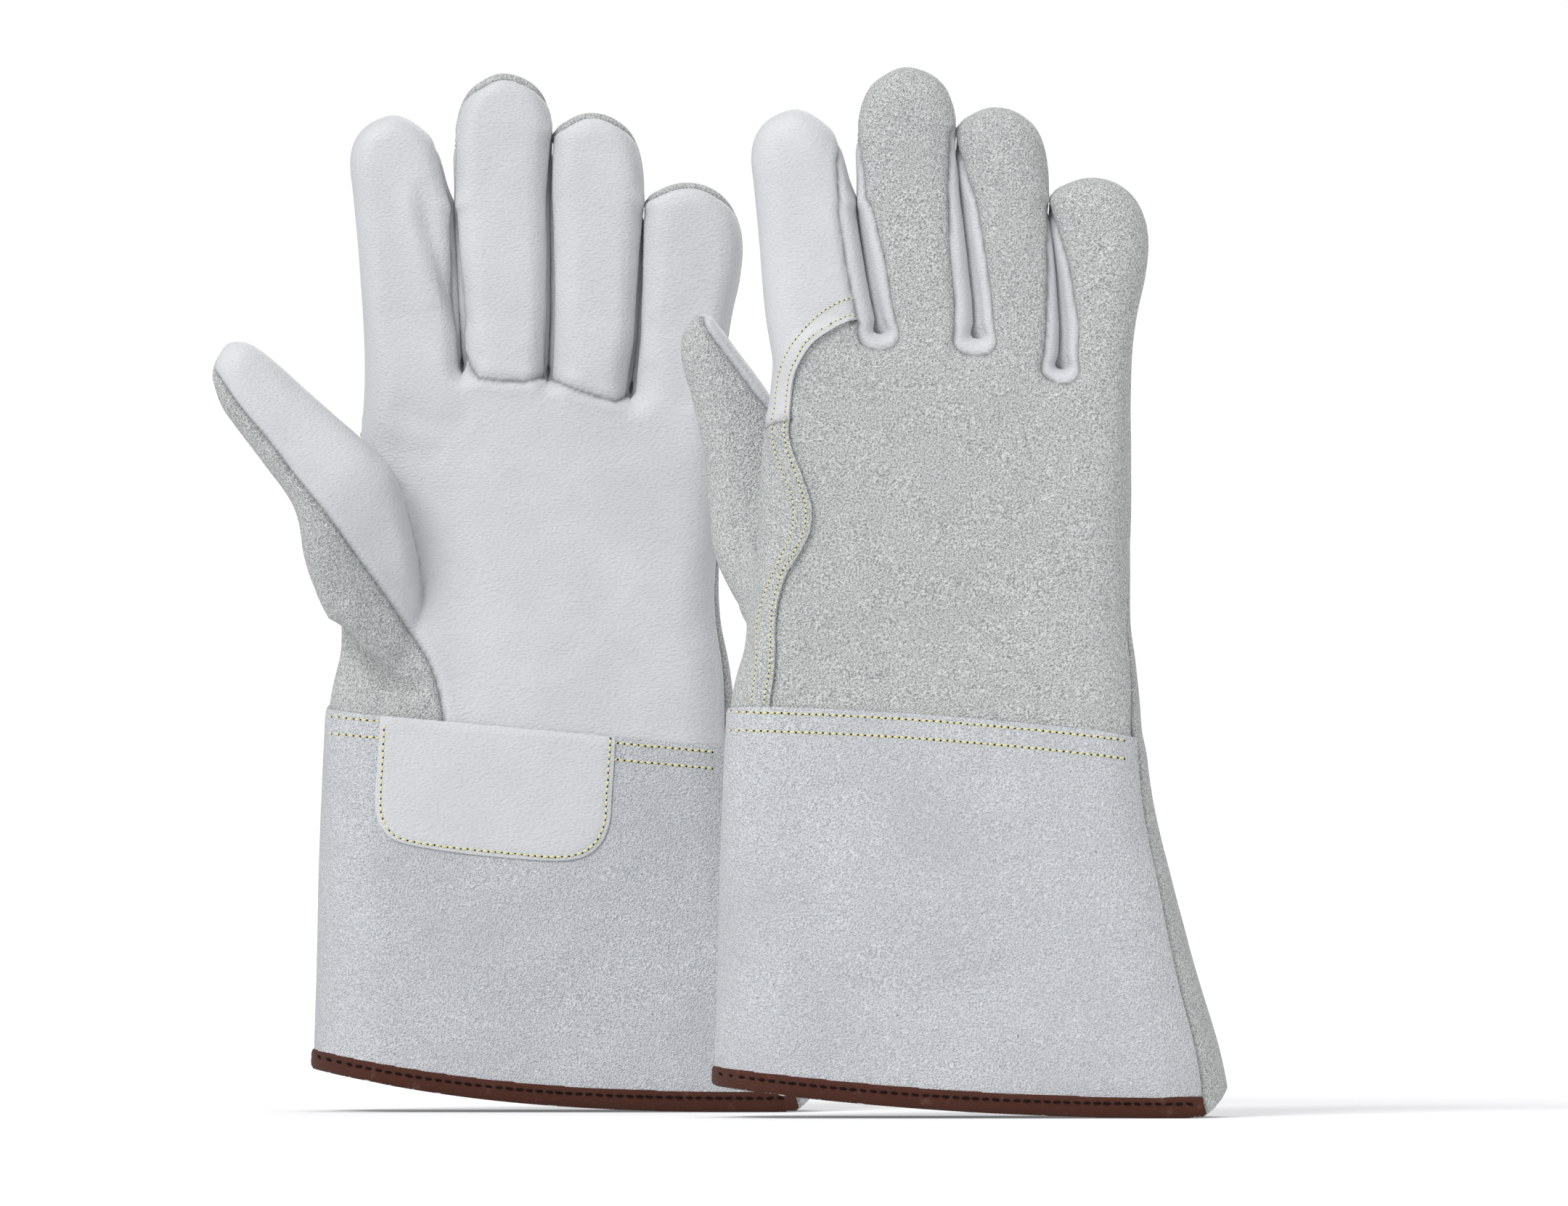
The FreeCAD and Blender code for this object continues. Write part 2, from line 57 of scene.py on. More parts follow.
# Lengths are in millimetres in each glove's own frame until a mesh is made: x across the hand with the thumb
# at -x, p towards the palm, z up from the hem. The left glove's palm faces -Y, the right glove's faces +Y.
GRID_STEP = 1.3
SPACE_X, SPACE_P, SPACE_Z = (-118, 104), (-33, 45), (-9, 356)  # room for a glove's form on each axis
LEATHER = 1.2
TAPE_WIDTH = 6.8
HALF_SLIT = 1.5
THUMB_HALF_DEPTH = 11.0
THUMB_POWER = 2.2  # 2 for an elliptical cross-section, more for a squarer one
HAND_TOP = 236  # below it the side seams run straight down the hand
HAND_INSIDE_CUFF = 9.0  # how far the hand's leather goes on below the wrist seam
GUSSET_REACH = 94.7  # from a glove's zero to the outer face of its side gusset
SIDE_GUSSET_TOP = 206
STRIP_FOOT = 232  # the strips between the fingers end above it
FRONT_FOOT = 230  # so do the fronts of the middle and ring fingers
BACK_TOP = 268  # the back panel reaches up to it beside the index finger
TIP_TURN = 29  # degrees by which a finger's seams turn towards the palm over its tip
THUMB_START = 8  # along the thumb, where its seams leave the hand's
THUMB_LAP_TOP = (-50.2, 232, 0.276)  # top edge of the thumb gusset's lap: a point on it, then its slope
# stretches above a finger's root, along the thumb, and in height at the wrist; the thumb's panels begin where
# its stretch begins
FINGER_BLEND, THUMB_BLEND, WRIST_BLEND = (0, 18), (14, 44), (137, 168)
CUFF_PITCH, LAP_PITCH, HEM_PITCH = 2.3, 1.75, 3.4
INDEX_LAP_FOOT = 261.5  # above it the lap's stitches are a separate piece, listed under the index finger
BEAD_SIDES = 6
NO_SEAM = -170.0  # the angle of a seam that is out of reach
FAR = 5.0  # the value of a field where its seam is not wanted
OUT_OF_REACH = 50.0  # a distance at which an edge has no effect
# how the gloves differ: "narrower" holds places where a side is taken in, as x, z, reach and shift
GLOVES = {
    "left": {
        "palm_y": -1.0,
        "thumb_root": (-57.0, 191.0),
        "thumb_lean": -37.0,
        "narrower": [(62, 178, 22, -2.0)],
        "hem_power": 2.79,
        "hem_rise": 14.0,
        "thumb": [
            (-101.5, 258.5), (-94, 256.5), (-80, 245), (-61, 228), (-50, 218), (-45.5, 209), (-43, 197),
            (-39, 182), (-38, 166), (-42, 150), (-54, 147), (-63.5, 155.5), (-71, 167), (-75.5, 178),
            (-78.5, 188), (-80.2, 198), (-83.8, 207), (-96.2, 224), (-105.2, 236.3), (-108.6, 246.5),
            (-106.6, 254.5),
        ],
    },
    "right": {
        "palm_y": 1.0,
        "thumb_root": (-60.0, 192.0),
        "thumb_lean": -14.6,
        "narrower": [(-59, 246, 15, 2.6)],
        "hem_power": 2.17,
        "hem_rise": 10.0,
        "thumb": [
            (-80.5, 267.5), (-75, 264), (-66, 250), (-57.5, 238), (-51, 225), (-47, 210), (-45, 195),
            (-42, 178), (-42, 162), (-50, 152), (-58, 156), (-64.5, 166), (-70, 175), (-75.5, 188),
            (-77.5, 203), (-78, 215), (-80.5, 227), (-84, 240), (-86.7, 252), (-86, 261),
        ],
    },
}
# edge of a glove without its thumb, seen from the palm
OUTLINE = [
    (-74.3, -12), (-74.3, 10), (-73.5, 40), (-72.2, 90), (-71, 118), (-70, 136), (-68, 147), (-65, 157),
    (-63, 168), (-61.5, 185), (-60.5, 205), (-59.5, 225), (-58.3, 245), (-58.5, 262), (-60, 285),
    (-62, 308), (-63.2, 320), (-61.5, 327.5), (-56.5, 333), (-48, 335.8), (-40.5, 332.5), (-35, 326.5),
    (-32, 318), (-30, 309), (-28, 302), (-28, 312), (-28.3, 325), (-27, 335), (-23.5, 343), (-17.5, 348),
    (-11.5, 349.8), (-4.5, 348), (0.5, 344), (3.8, 338), (5, 331), (5, 327), (6.3, 329.5), (9.5, 333),
    (14, 335.6), (19, 336.3), (25, 334.8), (30.5, 330.5), (34, 324), (35.6, 315), (36, 303), (37.2, 306.5),
    (41, 310), (46, 312.3), (51.5, 312.9), (58, 311.3), (63.5, 307), (67.5, 300), (69, 291), (68, 280),
    (65.5, 268), (63.8, 256), (63.2, 240), (63.2, 215), (63, 195), (62.7, 178), (63, 164), (64.8, 152),
    (66.2, 140), (67.2, 126), (70.0, 104), (76.8, 75), (85, 45), (92, 22), (95, 6), (96, -12),
]
# slits between the fingers: centre line from the crotch up, then how far the slit leans and rises from the
# palm to the back
SLITS = [
    {"line": [(-22.8, 257), (-24.3, 270), (-26, 285), (-28, 302)], "lean": 2.6, "rise": 6.5},
    {"line": [(8, 255), (8, 272), (7, 290), (5.5, 310), (5, 327)], "lean": 4.5, "rise": 7.0},
    {"line": [(36, 247), (37.2, 262), (37, 280), (36, 303)], "lean": 4.6, "rise": 4.5},
]
FINGERS = ("index", "middle", "ring", "little")
FINGER_TIPS = (336.0, 350.0, 336.5, 313.0)
FINGER_CENTRES = (-45.0, -10.0, 21.0, 51.0)
FINGER_BENDS = (264.0, 264.0, 263.0, 252.0)
# seams of the strips between the fingers, as angles round each finger: height, back seam, front seam
STRIPS = {
    (0, False): [(250, 5, 3)],
    (0, True): [(257, -54, 24), (285, -58, 24), (305, -56, 24), (318, -38, 16), (327, 5, 3)],
    (1, False): [(257, -54, 24), (285, -57, 24), (302, -50, 20), (314, -34, 10), (326, -18, 4), (336, 6, 4)],
    (1, True): [(255, -55, 24), (290, -55, 24), (310, -46, 22), (324, -34, 12), (334, -18, 4), (341, 6, 4)],
    (2, False): [(255, -55, 24), (285, -53, 24), (305, -46, 20), (318, -24, 10), (327, 6, 4)],
    (2, True): [(247, -50, 24), (265, -48, 24), (290, -36, 18), (303, -16, 8), (314, 6, 4)],
    (3, False): [(247, -52, 24), (265, -54, 24), (285, -44, 18), (297, -28, 8), (305, 6, 4)],
    (3, True): [(250, 5, 3)],
}
# edge of the thumb gusset and the index wrap where they lie over the back panel, and their second stitch row
LAP = [
    (-57.3, 118), (-56.9, 137), (-55.1, 150), (-54.4, 168), (-51.4, 180), (-48, 186), (-44, 194),
    (-43.0, 201), (-43.8, 206), (-46.8, 215), (-49.6, 223), (-50.3, 229), (-49.9, 235), (-48.7, 246),
    (-46, 253), (-42.3, 258), (-36, 262.3), (-31.5, 264.6), (-27.4, 265.6), (-18, 266.4),
]
SECOND_ROW = [
    (-63.3, 138), (-61.7, 150), (-61.2, 165), (-58, 176), (-53.5, 186), (-50, 194), (-49.2, 201),
    (-50, 207), (-53, 215), (-55.5, 222), (-56.3, 229), (-55.6, 236), (-54, 247), (-50.3, 256), (-45, 263),
    (-39, 268.3), (-33, 271.6), (-29, 272.8),
]
# seam between the palm and the leather round the thumb
THUMB_SEAM = [
    (-112, 256), (-108, 248.5), (-100, 237), (-90, 225), (-80, 212), (-70, 200), (-60, 186), (-50, 172),
    (-40, 157), (-36, 150), (-33, 141), (-31.5, 131), (-31, 118),
]
# seam across the palm at the roots of the middle and ring fingers
ROOT_SEAM = [
    (-34, 320), (-25.5, 258), (-23, 250.5), (-20, 247), (-14, 246), (-4, 245.5), (2, 247.5), (4, 247),
    (13, 243), (22, 240), (27, 239), (30, 240.5), (32.5, 244), (35, 252), (44, 320),
]
# edge of the patch below the wrist seam
PATCH = [
    (-52.5, 137), (-53.5, 120), (-54.3, 106), (-53.8, 99), (-51, 93.5), (-46, 90.3), (-35, 88), (-20, 86),
    (0, 84.3), (10, 84.2), (17, 86), (22, 90.5), (24.6, 97.5), (25.2, 106), (26, 118), (26.8, 134),
]
# folds in the leather: palm (1) or back (-1) side, half width, height, line
FOLDS = [
    (1, 3.2, -2.1, [(-40, 314), (-37, 302), (-33, 287), (-28, 272), (-24, 262)]),
    (1, 3.5, 1.2, [(-44, 312), (-42, 300), (-39, 285), (-34, 270)]),
    (1, 3.0, -0.7, [(-30, 300), (-29, 286), (-26, 272)]),
    (1, 4.5, -0.9, [(38, 268), (43, 258), (50, 249), (58, 243)]),
    (1, 3.5, -0.6, [(37, 252), (43, 243), (52, 236)]),
    (1, 5.0, -0.8, [(-56, 226), (-44, 222), (-30, 221)]),
    (1, 5.0, -0.7, [(-50, 238), (-36, 232), (-22, 231)]),
    (1, 4.0, 0.7, [(-46, 176), (-44, 190), (-46, 204)]),
    (1, 2.8, -4.4, [(-70, 166), (-64, 157), (-56, 149.5), (-46, 143), (-38, 139)]),
    (1, 7.0, -2.2, [(-72, 150), (-60, 142), (-48, 136)]),
    (1, 5.0, 2.2, [(-66, 172), (-56, 161), (-45, 151)]),
    (1, 7.0, -0.8, [(-10, 215), (5, 205), (20, 190), (28, 170)]),
    (1, 9.0, 1.0, [(-30, 60), (-5, 48), (20, 55)]),
    (-1, 7.0, 0.8, [(-20, 196), (0, 186), (22, 190)]),
    (-1, 8.0, -0.8, [(-30, 168), (0, 160), (30, 166)]),
    (-1, 10.0, 1.0, [(-40, 82), (-5, 70), (30, 76)]),
    (-1, 9.0, -1.0, [(-50, 48), (-10, 40), (40, 52)]),
    (-1, 6.0, -0.7, [(20, 240), (30, 225), (36, 205)]),
]


def smooth(value, low, high):
    """0 below low, 1 above high, and an S-curve between them."""
    t = np.clip((value - low) / (high - low), 0, 1)
    return t * t * (3 - 2 * t)


def bell(value, width):
    """A bump of height 1 at 0 that fades out over a few widths."""
    return np.exp(-((value / width) ** 2))


def spline(points, closed=False, per=6):
    """Catmull-Rom curve through the points."""
    p = np.array(points, float)
    p = np.vstack([p[-1:], p, p[:2]]) if closed else np.vstack([2 * p[0] - p[1], p, 2 * p[-1] - p[-2]])
    t = (np.arange(per) / per)[:, None]
    rows = []
    for a, b, c, d in zip(p[:-3], p[1:-2], p[2:-1], p[3:]):
        rows.append(0.5 * (2 * b + (c - a) * t + (2 * a - 5 * b + 4 * c - d) * t**2
                           + (3 * b - a - 3 * c + d) * t**3))
    line = np.vstack(rows)
    return line if closed else np.vstack([line, p[-2:-1]])


def distance(x, z, line, closed):
    """Distance to a line; to a closed one, positive inside."""
    best, inside = np.full(x.shape, 1e9), np.zeros(x.shape, bool)
    ends = np.roll(line, -1, 0) if closed else line[1:]
    for (ax, az), (bx, bz) in zip(line, ends):
        dx, dz = bx - ax, bz - az
        t = np.clip(((x - ax) * dx + (z - az) * dz) / (dx * dx + dz * dz + 1e-12), 0, 1)
        best = np.minimum(best, (x - ax - t * dx) ** 2 + (z - az - t * dz) ** 2)
        if closed:
            inside ^= ((az > z) != (bz > z)) & (x < dx * (z - az) / (dz + 1e-12) + ax)
    best = np.sqrt(best)
    return np.where(inside, best, -best) if closed else best


def noise(points, size, seed):
    """Smooth random values between -1 and 1 that change over about `size`."""
    table = np.random.default_rng(seed).uniform(-1, 1, (24, 24, 24))
    q = points / size + 100.0
    i = np.floor(q).astype(int)
    f = q - i
    f = f * f * (3 - 2 * f)
    total = 0.0
    for corner in range(8):
        c = np.array([corner & 1, corner >> 1 & 1, corner >> 2 & 1])
        k = (i + c) % 24
        weight = np.prod(np.where(c, f, 1 - f), axis=1)
        total = total + weight * table[k[:, 0], k[:, 1], k[:, 2]]
    return total


def folds(points, where):
    """Height of the soft folds in the leather."""
    total = np.zeros(len(points))
    for side, width, height, line in FOLDS:
        near = distance(points[:, 0], points[:, 2], spline(line), False)
        start, end = np.array(line[0], float), np.array(line[-1], float)
        along = (points[:, [0, 2]] - start) @ (end - start) / np.linalg.norm(end - start) ** 2
        fade = np.clip(1 - (2 * np.clip(along, 0, 1) - 1) ** 4, 0, 1)
        total += height * bell(near, width) * fade * smooth(side * where["q"], 0.15, 0.7)
    return total


def x_on(line, z):
    """x at height z of a line that climbs."""
    return np.interp(z, line[:, 1], line[:, 0])


LAP_LINE = spline(LAP)
SECOND_LINE = spline(SECOND_ROW)
SLIT_LINES = [np.array(s["line"], float) for s in SLITS]


def half_depth(z):
    """Half the glove's depth from palm to back at height z."""
    heights = [-12, 0, 130, 165, 216, 250, 268, 320, 350]
    return np.interp(z, heights, [27.6, 27, 17.4, 15.6, 14.4, 13.2, 11.5, 10.9, 10])


def edge_radius(z):
    """How far in from the outline the glove is rounded at height z."""
    return np.interp(z, [-12, 0, 130, 165, 216, 250, 268, 350], [27.6, 27, 17.4, 15.5, 14.4, 13, 12, 11])


def seam_height(x, q):
    """Height of the wrist seam; q is 1 on the palm, -1 on the back."""
    palm = 128.2 - 0.0915 * x
    back = 133.4 - 0.075 * x - 0.0004 * x * x
    return palm * (1 + q) / 2 + back * (1 - q) / 2


def hem_height(x, glove):
    """Height of the hem, which is lowest near the little-finger side and sweeps up towards the thumb side."""
    lowest_x, span = 86, 161.0
    sweep = glove["hem_rise"] * (np.clip(lowest_x - x, 0, None) / span) ** glove["hem_power"]
    return sweep + np.clip(x - lowest_x, 0, None) ** 2 / 8.0


def gusset_angles(z):
    """Seams of the side gusset, as angles round the little-finger side: back seam, palm seam."""
    back = np.interp(z, [0, 130, 160, 190, 205, 240], [-50, -34, -22, -2, 12, 5])
    palm = np.interp(z, [0, 130, 160, 205, 240], [50, 34, 24, 10, 3])
    return np.array([back, palm])


# ---- the glove's outer form ------------------


def thumb_place(x, z, glove):
    """How far a point lies along the thumb from its root, and across it towards the fingers."""
    lean = math.radians(glove["thumb_lean"])
    dx, dz = x - glove["thumb_root"][0], z - glove["thumb_root"][1]
    return dx * math.sin(lean) + dz * math.cos(lean), dx * math.cos(lean) - dz * math.sin(lean)


def above_section(inset, rise, power, depth):
    """Height above a rounded cross-section; inset and rise are 0 at its middle and 1 at its edge and face."""
    return ((inset**power + rise**power) ** (1 / power) - 1) * depth


def grid_axes():
    """The x, p and z values of the grid that a form is worked out on."""
    return [np.arange(*span, GRID_STEP) for span in (SPACE_X, SPACE_P, SPACE_Z)]


def grid_value(values, x, z):
    """Values of the x, z grid at the given places."""
    xs, _, zs = grid_axes()
    u = np.clip((x - xs[0]) / GRID_STEP, 0, len(xs) - 1.001)
    v = np.clip((z - zs[0]) / GRID_STEP, 0, len(zs) - 1.001)
    i, j = u.astype(int), v.astype(int)
    f, g = u - i, v - j
    low = values[i, j] * (1 - f) + values[i + 1, j] * f
    high = values[i, j + 1] * (1 - f) + values[i + 1, j + 1] * f
    return low * (1 - g) + high * g


def form(glove):
    """The outer surface of a glove, as vertices, triangles and measures of where each vertex lies."""
    xs, ps, zs = grid_axes()
    x2, z2 = np.meshgrid(xs, zs, indexing="ij")
    p3 = ps[None, :, None]

    # the hand and cuff: an outline with slits, rounded towards its edge
    body_inside = distance(x2, z2, spline(OUTLINE, True, 5), True)
    for line in SLIT_LINES:
        body_inside = np.minimum(body_inside, distance(x2, z2, line, False) - HALF_SLIT)
    depth, back_radius = half_depth(zs)[None, :], edge_radius(zs)[None, :]
    palm_radius = back_radius * np.interp(zs, [180, 245, 262], [1.0, 0.82, 0.68])[None, :]
    back_inset = (np.clip(back_radius - body_inside, 0, None) / back_radius)[:, None, :]
    palm_inset = (np.clip(palm_radius - body_inside, 0, None) / palm_radius)[:, None, :]
    power = np.interp(zs, [100, 200, 270], [2.0, 2.2, 2.3])[None, None, :]
    inset = np.where(p3 > 0, palm_inset, back_inset)
    body = above_section(inset, np.abs(p3) / depth[None], power, depth[None])

    # the thumb, which lies in front of the palm and is thicker at its root
    along, across = thumb_place(x2, z2, glove)
    thumb_inside = distance(x2, z2, spline(glove["thumb"], True, 5), True)
    lift = 7 + 20 * smooth(along, -45, 26) + 6 * np.clip(along / 75, 0, 1)
    thick = np.interp(along, [-45, -10, 20, 60, 85], [8.5, 11.5, 11.5, 10.5, 9.5])[:, None, :]
    roll = 12 - 5.5 * smooth(across, -6, 4) * smooth(-along, -22, 0)
    inset = (np.clip(roll - thumb_inside, 0, None) / roll)[:, None, :]
    away = p3 - lift[:, None, :]
    thumb = above_section(inset, np.abs(away) / thick, THUMB_POWER, thick)

    # where they meet: crisp along the fold beside the palm, soft at the root and behind the thumb
    soft = 0.8 + 0.5 * smooth(-along, -12, 10) + 7 * smooth(across, -6, 8) * smooth(-along, 24, 38)
    soft = soft[:, None, :] + 9 * smooth(-away, -2, 12) * np.interp(along, [-2, 13], [1, 0])[:, None, :]
    mix = np.clip(0.5 + 0.5 * (thumb - body) / soft, 0, 1)
    field = thumb + (body - thumb) * mix - soft * mix * (1 - mix)

    grid = openvdb.FloatGrid(background=20.0)
    grid.copyFromArray(np.clip(field, -20, 20).astype(np.float32))
    points, quads = grid.convertToQuads(isovalue=0.0)
    points = points * GRID_STEP + np.array([xs[0], ps[0], zs[0]])
    tris = np.vstack([quads[:, [0, 1, 2]], quads[:, [0, 2, 3]]]).astype(np.int64)
    a, b, c = (points[tris[:, i]] for i in range(3))
    if np.einsum("ij,ij->i", a, np.cross(b, c)).sum() < 0:
        tris = tris[:, ::-1]

    x, p, z = points.T
    where = {"x": x, "p": p, "z": z}
    where["q"] = np.clip(p / half_depth(z), -1, 1)
    inset = np.clip(edge_radius(z) - grid_value(body_inside, x, z), 0, None) / edge_radius(z)
    where["phi"] = np.degrees(np.arctan2(p / half_depth(z), inset))
    where["along"], where["across"] = thumb_place(x, z, glove)
    where["lift"] = p - grid_value(lift, x, z)
    thumb_inset = np.clip(grid_value(roll - thumb_inside, x, z), 0, None) / grid_value(roll, x, z)
    thumb_rise = where["lift"] / THUMB_HALF_DEPTH
    where["thumb_phi"] = np.degrees(np.arctan2(thumb_rise, thumb_inset))
    on_thumb = above_section(thumb_inset, np.abs(thumb_rise), THUMB_POWER, THUMB_HALF_DEPTH)
    on_body = above_section(inset, np.abs(p / half_depth(z)), THUMB_POWER, half_depth(z))
    where["valley"] = on_thumb - on_body
    return points, tris, where


def lean_slits(points, where):
    """Closes the slits and leans them, so that a crotch is higher and further towards +x on the back."""
    x, p, z = points.T
    out = points.copy()
    for slit, line in zip(SLITS, SLIT_LINES):
        foot, top = line[0, 1], line[-1, 1]
        offset = x - x_on(line, z)
        above = smooth(z, foot - 2, foot + 4)
        above = np.maximum(above, smooth(z, foot - 7, foot - 2) * smooth(where["q"], -0.2, 0.5))
        pinch = 1.15 + 0.27 * smooth(where["q"], -1.0, -0.7)
        beyond = np.clip(np.abs(offset) - HALF_SLIT, 0, None)
        pull = np.clip(offset / HALF_SLIT, -1, 1) * np.exp(-beyond / 7.0)
        out[:, 0] -= pinch * pull * above * smooth(-z, -top - 14, -top)
        fade = np.clip((top - z) / (top - foot), 0, 1) ** 0.8 * smooth(z, foot - 26, foot - 2)
        turn = 2 * smooth(where["q"], -0.5, 0.2) - 1
        out[:, 0] -= turn * slit["lean"] * fade * bell(offset, 11)
        out[:, 2] -= turn * slit["rise"] * bell(offset, 9) * bell(z - foot, 15)
    return out


def take_in(points, glove):
    """Each glove stands a little differently: its sides are taken in near the given places."""
    out = points.copy()
    for x, z, reach, shift in glove["narrower"]:
        out[:, 0] += shift * bell(points[:, 2] - z, reach) * bell(points[:, 0] - x, 22)
    return out


def vertex_normals(points, tris):
    """A unit normal at each vertex, the mean of its faces' normals."""
    a, b, c = (points[tris[:, i]] for i in range(3))
    face = np.cross(b - a, c - a)
    total = np.zeros_like(points)
    for i in range(3):
        np.add.at(total, tris[:, i], face)
    return total / (np.linalg.norm(total, axis=1, keepdims=True) + 1e-12)


# ---- cutting the form into panels ------------


def finger_of(x, z):
    """The finger (0 index to 3 little) whose slits lie on either side of a place."""
    return (x[None] > np.array([x_on(line, z) for line in SLIT_LINES])).sum(0)


def measures(points, where, glove):
    """Fields whose zero lines are the edges of the panels."""
    x, p, z = points.T
    flat_x, flat_z = where["x"], where["z"]
    finger = finger_of(flat_x, flat_z)
    right_side = flat_x > np.array(FINGER_CENTRES)[finger]
    outer_left = (finger == 0) & ~right_side
    outer_right = (finger == 3) & right_side
    hand = flat_z < HAND_TOP

    # seams along the sides of the fingers and the side gusset
    tip = np.array(FINGER_TIPS)[finger]
    at_tip = TIP_TURN * smooth(flat_z, tip - 12, tip - 3)
    seams = np.zeros((2, len(x)))
    for (k, side), rows in STRIPS.items():
        mine = (finger == k) & (right_side == side)
        heights, *angles = np.array(rows).T
        seams = np.where(mine, [np.interp(flat_z, heights, angle) + at_tip for angle in angles], seams)
    seams = np.where(hand | outer_right, gusset_angles(flat_z) + at_tip, seams)
    back_seam, front_seam = np.where(outer_left & ~hand, NO_SEAM, seams)

    # seam round the thumb: across the palm, up the outer edge of the hand and along the thumb's inner side
    thumb_seam = spline(THUMB_SEAM)
    palm_side = np.sign(x - x_on(thumb_seam[::-1], z)) * distance(x, z, thumb_seam, False)
    top_x, top_z, slope = THUMB_LAP_TOP
    top_edge = z - (top_z + (x - top_x) * slope)
    facing = np.where(x < -40, 8 * (where["facing"] + 0.35), FAR)
    body = np.maximum(np.minimum(np.minimum(palm_side, p), facing), top_edge)
    inner_seam = (where["thumb_phi"] - np.interp(where["along"], [16, 32, 48], [0, -25, -45])) * 0.2
    outer_seam = np.where(where["lift"] > 0, palm_side, -3.0)
    thumb = np.where(where["across"] > 0, inner_seam, outer_seam)
    # the thumb is what lies beyond its root, beside the hand or well in front of it
    is_thumb = (where["lift"] > -13) & ((x < -62) | (p > 15.0)) | (x < -66) & (z < 290)
    is_thumb &= where["along"] > THUMB_START

    seam_top = seam_height(x, where["q"])
    hem = hem_height(x, glove)
    return {
        "front": where["phi"] - front_seam,
        "back": where["phi"] - back_seam,
        "thumb_edge": np.where(is_thumb, thumb, body),
        "lap": np.where(p < 0, x - x_on(LAP_LINE, z), -FAR),
        "root_seam": np.where(p > 0, z - np.interp(x, *np.array(ROOT_SEAM).T), FAR),
        "seam": z - seam_top,
        "hem": z - hem,
        "tape": z - hem - TAPE_WIDTH,
        "patch": np.where(p > 0, distance(x, z, spline(PATCH), True), -FAR),
        "cuff_side": np.where((z < seam_top + 3) & (x < -30), p, FAR),
        "is_thumb": is_thumb.astype(float) - 0.5,
    }


CUT_FIELDS = (
    "front", "back", "thumb_edge", "lap", "root_seam", "seam", "hem", "tape", "patch", "cuff_side",
)


def cut(table, tris, column):
    """Splits the triangles where a column of the table changes sign; new rows are mixed along the edges."""
    value = table[:, column]
    value = np.where(np.abs(value) < 1e-3, 1e-3, value)
    sign = value[tris] > 0
    count = sign.sum(1)
    mixed = (count == 1) | (count == 2)
    whole, split = tris[~mixed], tris[mixed]
    sign = sign[mixed]
    lone = np.where(sign.sum(1) == 1, sign.argmax(1), (~sign).argmax(1))
    rows = np.arange(len(split))
    a, b, c = (split[rows, (lone + i) % 3] for i in range(3))
    pairs = np.sort(np.vstack([np.c_[a, b], np.c_[a, c]]), axis=1)
    edges, index = np.unique(pairs, axis=0, return_inverse=True)
    i, j = edges.T
    share = (value[i] / (value[i] - value[j]))[:, None]
    added = table[i] * (1 - share) + table[j] * share
    added[:, column] = 0.0
    index = index.reshape(-1) + len(table)
    ab, ac = index[: len(a)], index[len(a):]
    new = np.vstack([np.c_[a, ab, ac], np.c_[ab, b, c], np.c_[ab, c, ac]])
    return np.vstack([table, added]), np.vstack([whole, new])


# sheets of leather: the panels of one sheet are shaded as one, and the edges between sheets sink into seams
SHEETS = range(9)
PALM, MIDDLE_FRONT, RING_FRONT, BACK, THUMB, STRIP_1, STRIP_2, STRIP_3, GUSSET = SHEETS
OVER_BACK = (PALM, THUMB)  # their edges lie over the back's
SPLIT_SHEETS = (BACK, THUMB, GUSSET)
PANELS = {
    # panel: (sheet, body it is listed under, CAD nodes it stands for)
    "palm": (PALM, "hand", ("palm_panel", "index_wrap_root")),
    "index_wrap": (PALM, "index", ("index_wrap",)),
    "little_front": (PALM, "little", ("little_front",)),
    "thumb_front": (PALM, "thumb", ("thumb_front",)),
    "middle_front": (MIDDLE_FRONT, "middle", ("middle_front",)),
    "ring_front": (RING_FRONT, "ring", ("ring_front",)),
    "back": (BACK, "hand", ("back_panel",)),
    "middle_back": (BACK, "middle", ("middle_back",)),
    "ring_back": (BACK, "ring", ("ring_back",)),
    "little_back": (BACK, "little", ("little_back",)),
    "thumb_gusset": (THUMB, "hand", ("thumb_gusset",)),
    "thumb_back": (THUMB, "thumb", ("thumb_back",)),
    "index_fourchette": (STRIP_1, "index", ("index_fourchette",)),
    "middle_fourchette_left": (STRIP_1, "middle", ("middle_fourchettes",)),
    "middle_fourchette_right": (STRIP_2, "middle", ()),
    "ring_fourchette_left": (STRIP_2, "ring", ("ring_fourchettes",)),
    "ring_fourchette_right": (STRIP_3, "ring", ()),
    "little_fourchette": (STRIP_3, "little", ("little_fourchette",)),
    "side_gusset": (GUSSET, "gusset", ("cuff_side_gusset",)),
}
LABELS = list(PANELS)
SHEET_OF = np.array([PANELS[name][0] for name in LABELS])
SLIT_STRIPS = (
    ("index_fourchette", "middle_fourchette_left"),
    ("middle_fourchette_right", "ring_fourchette_left"),
    ("ring_fourchette_right", "little_fourchette"),
)


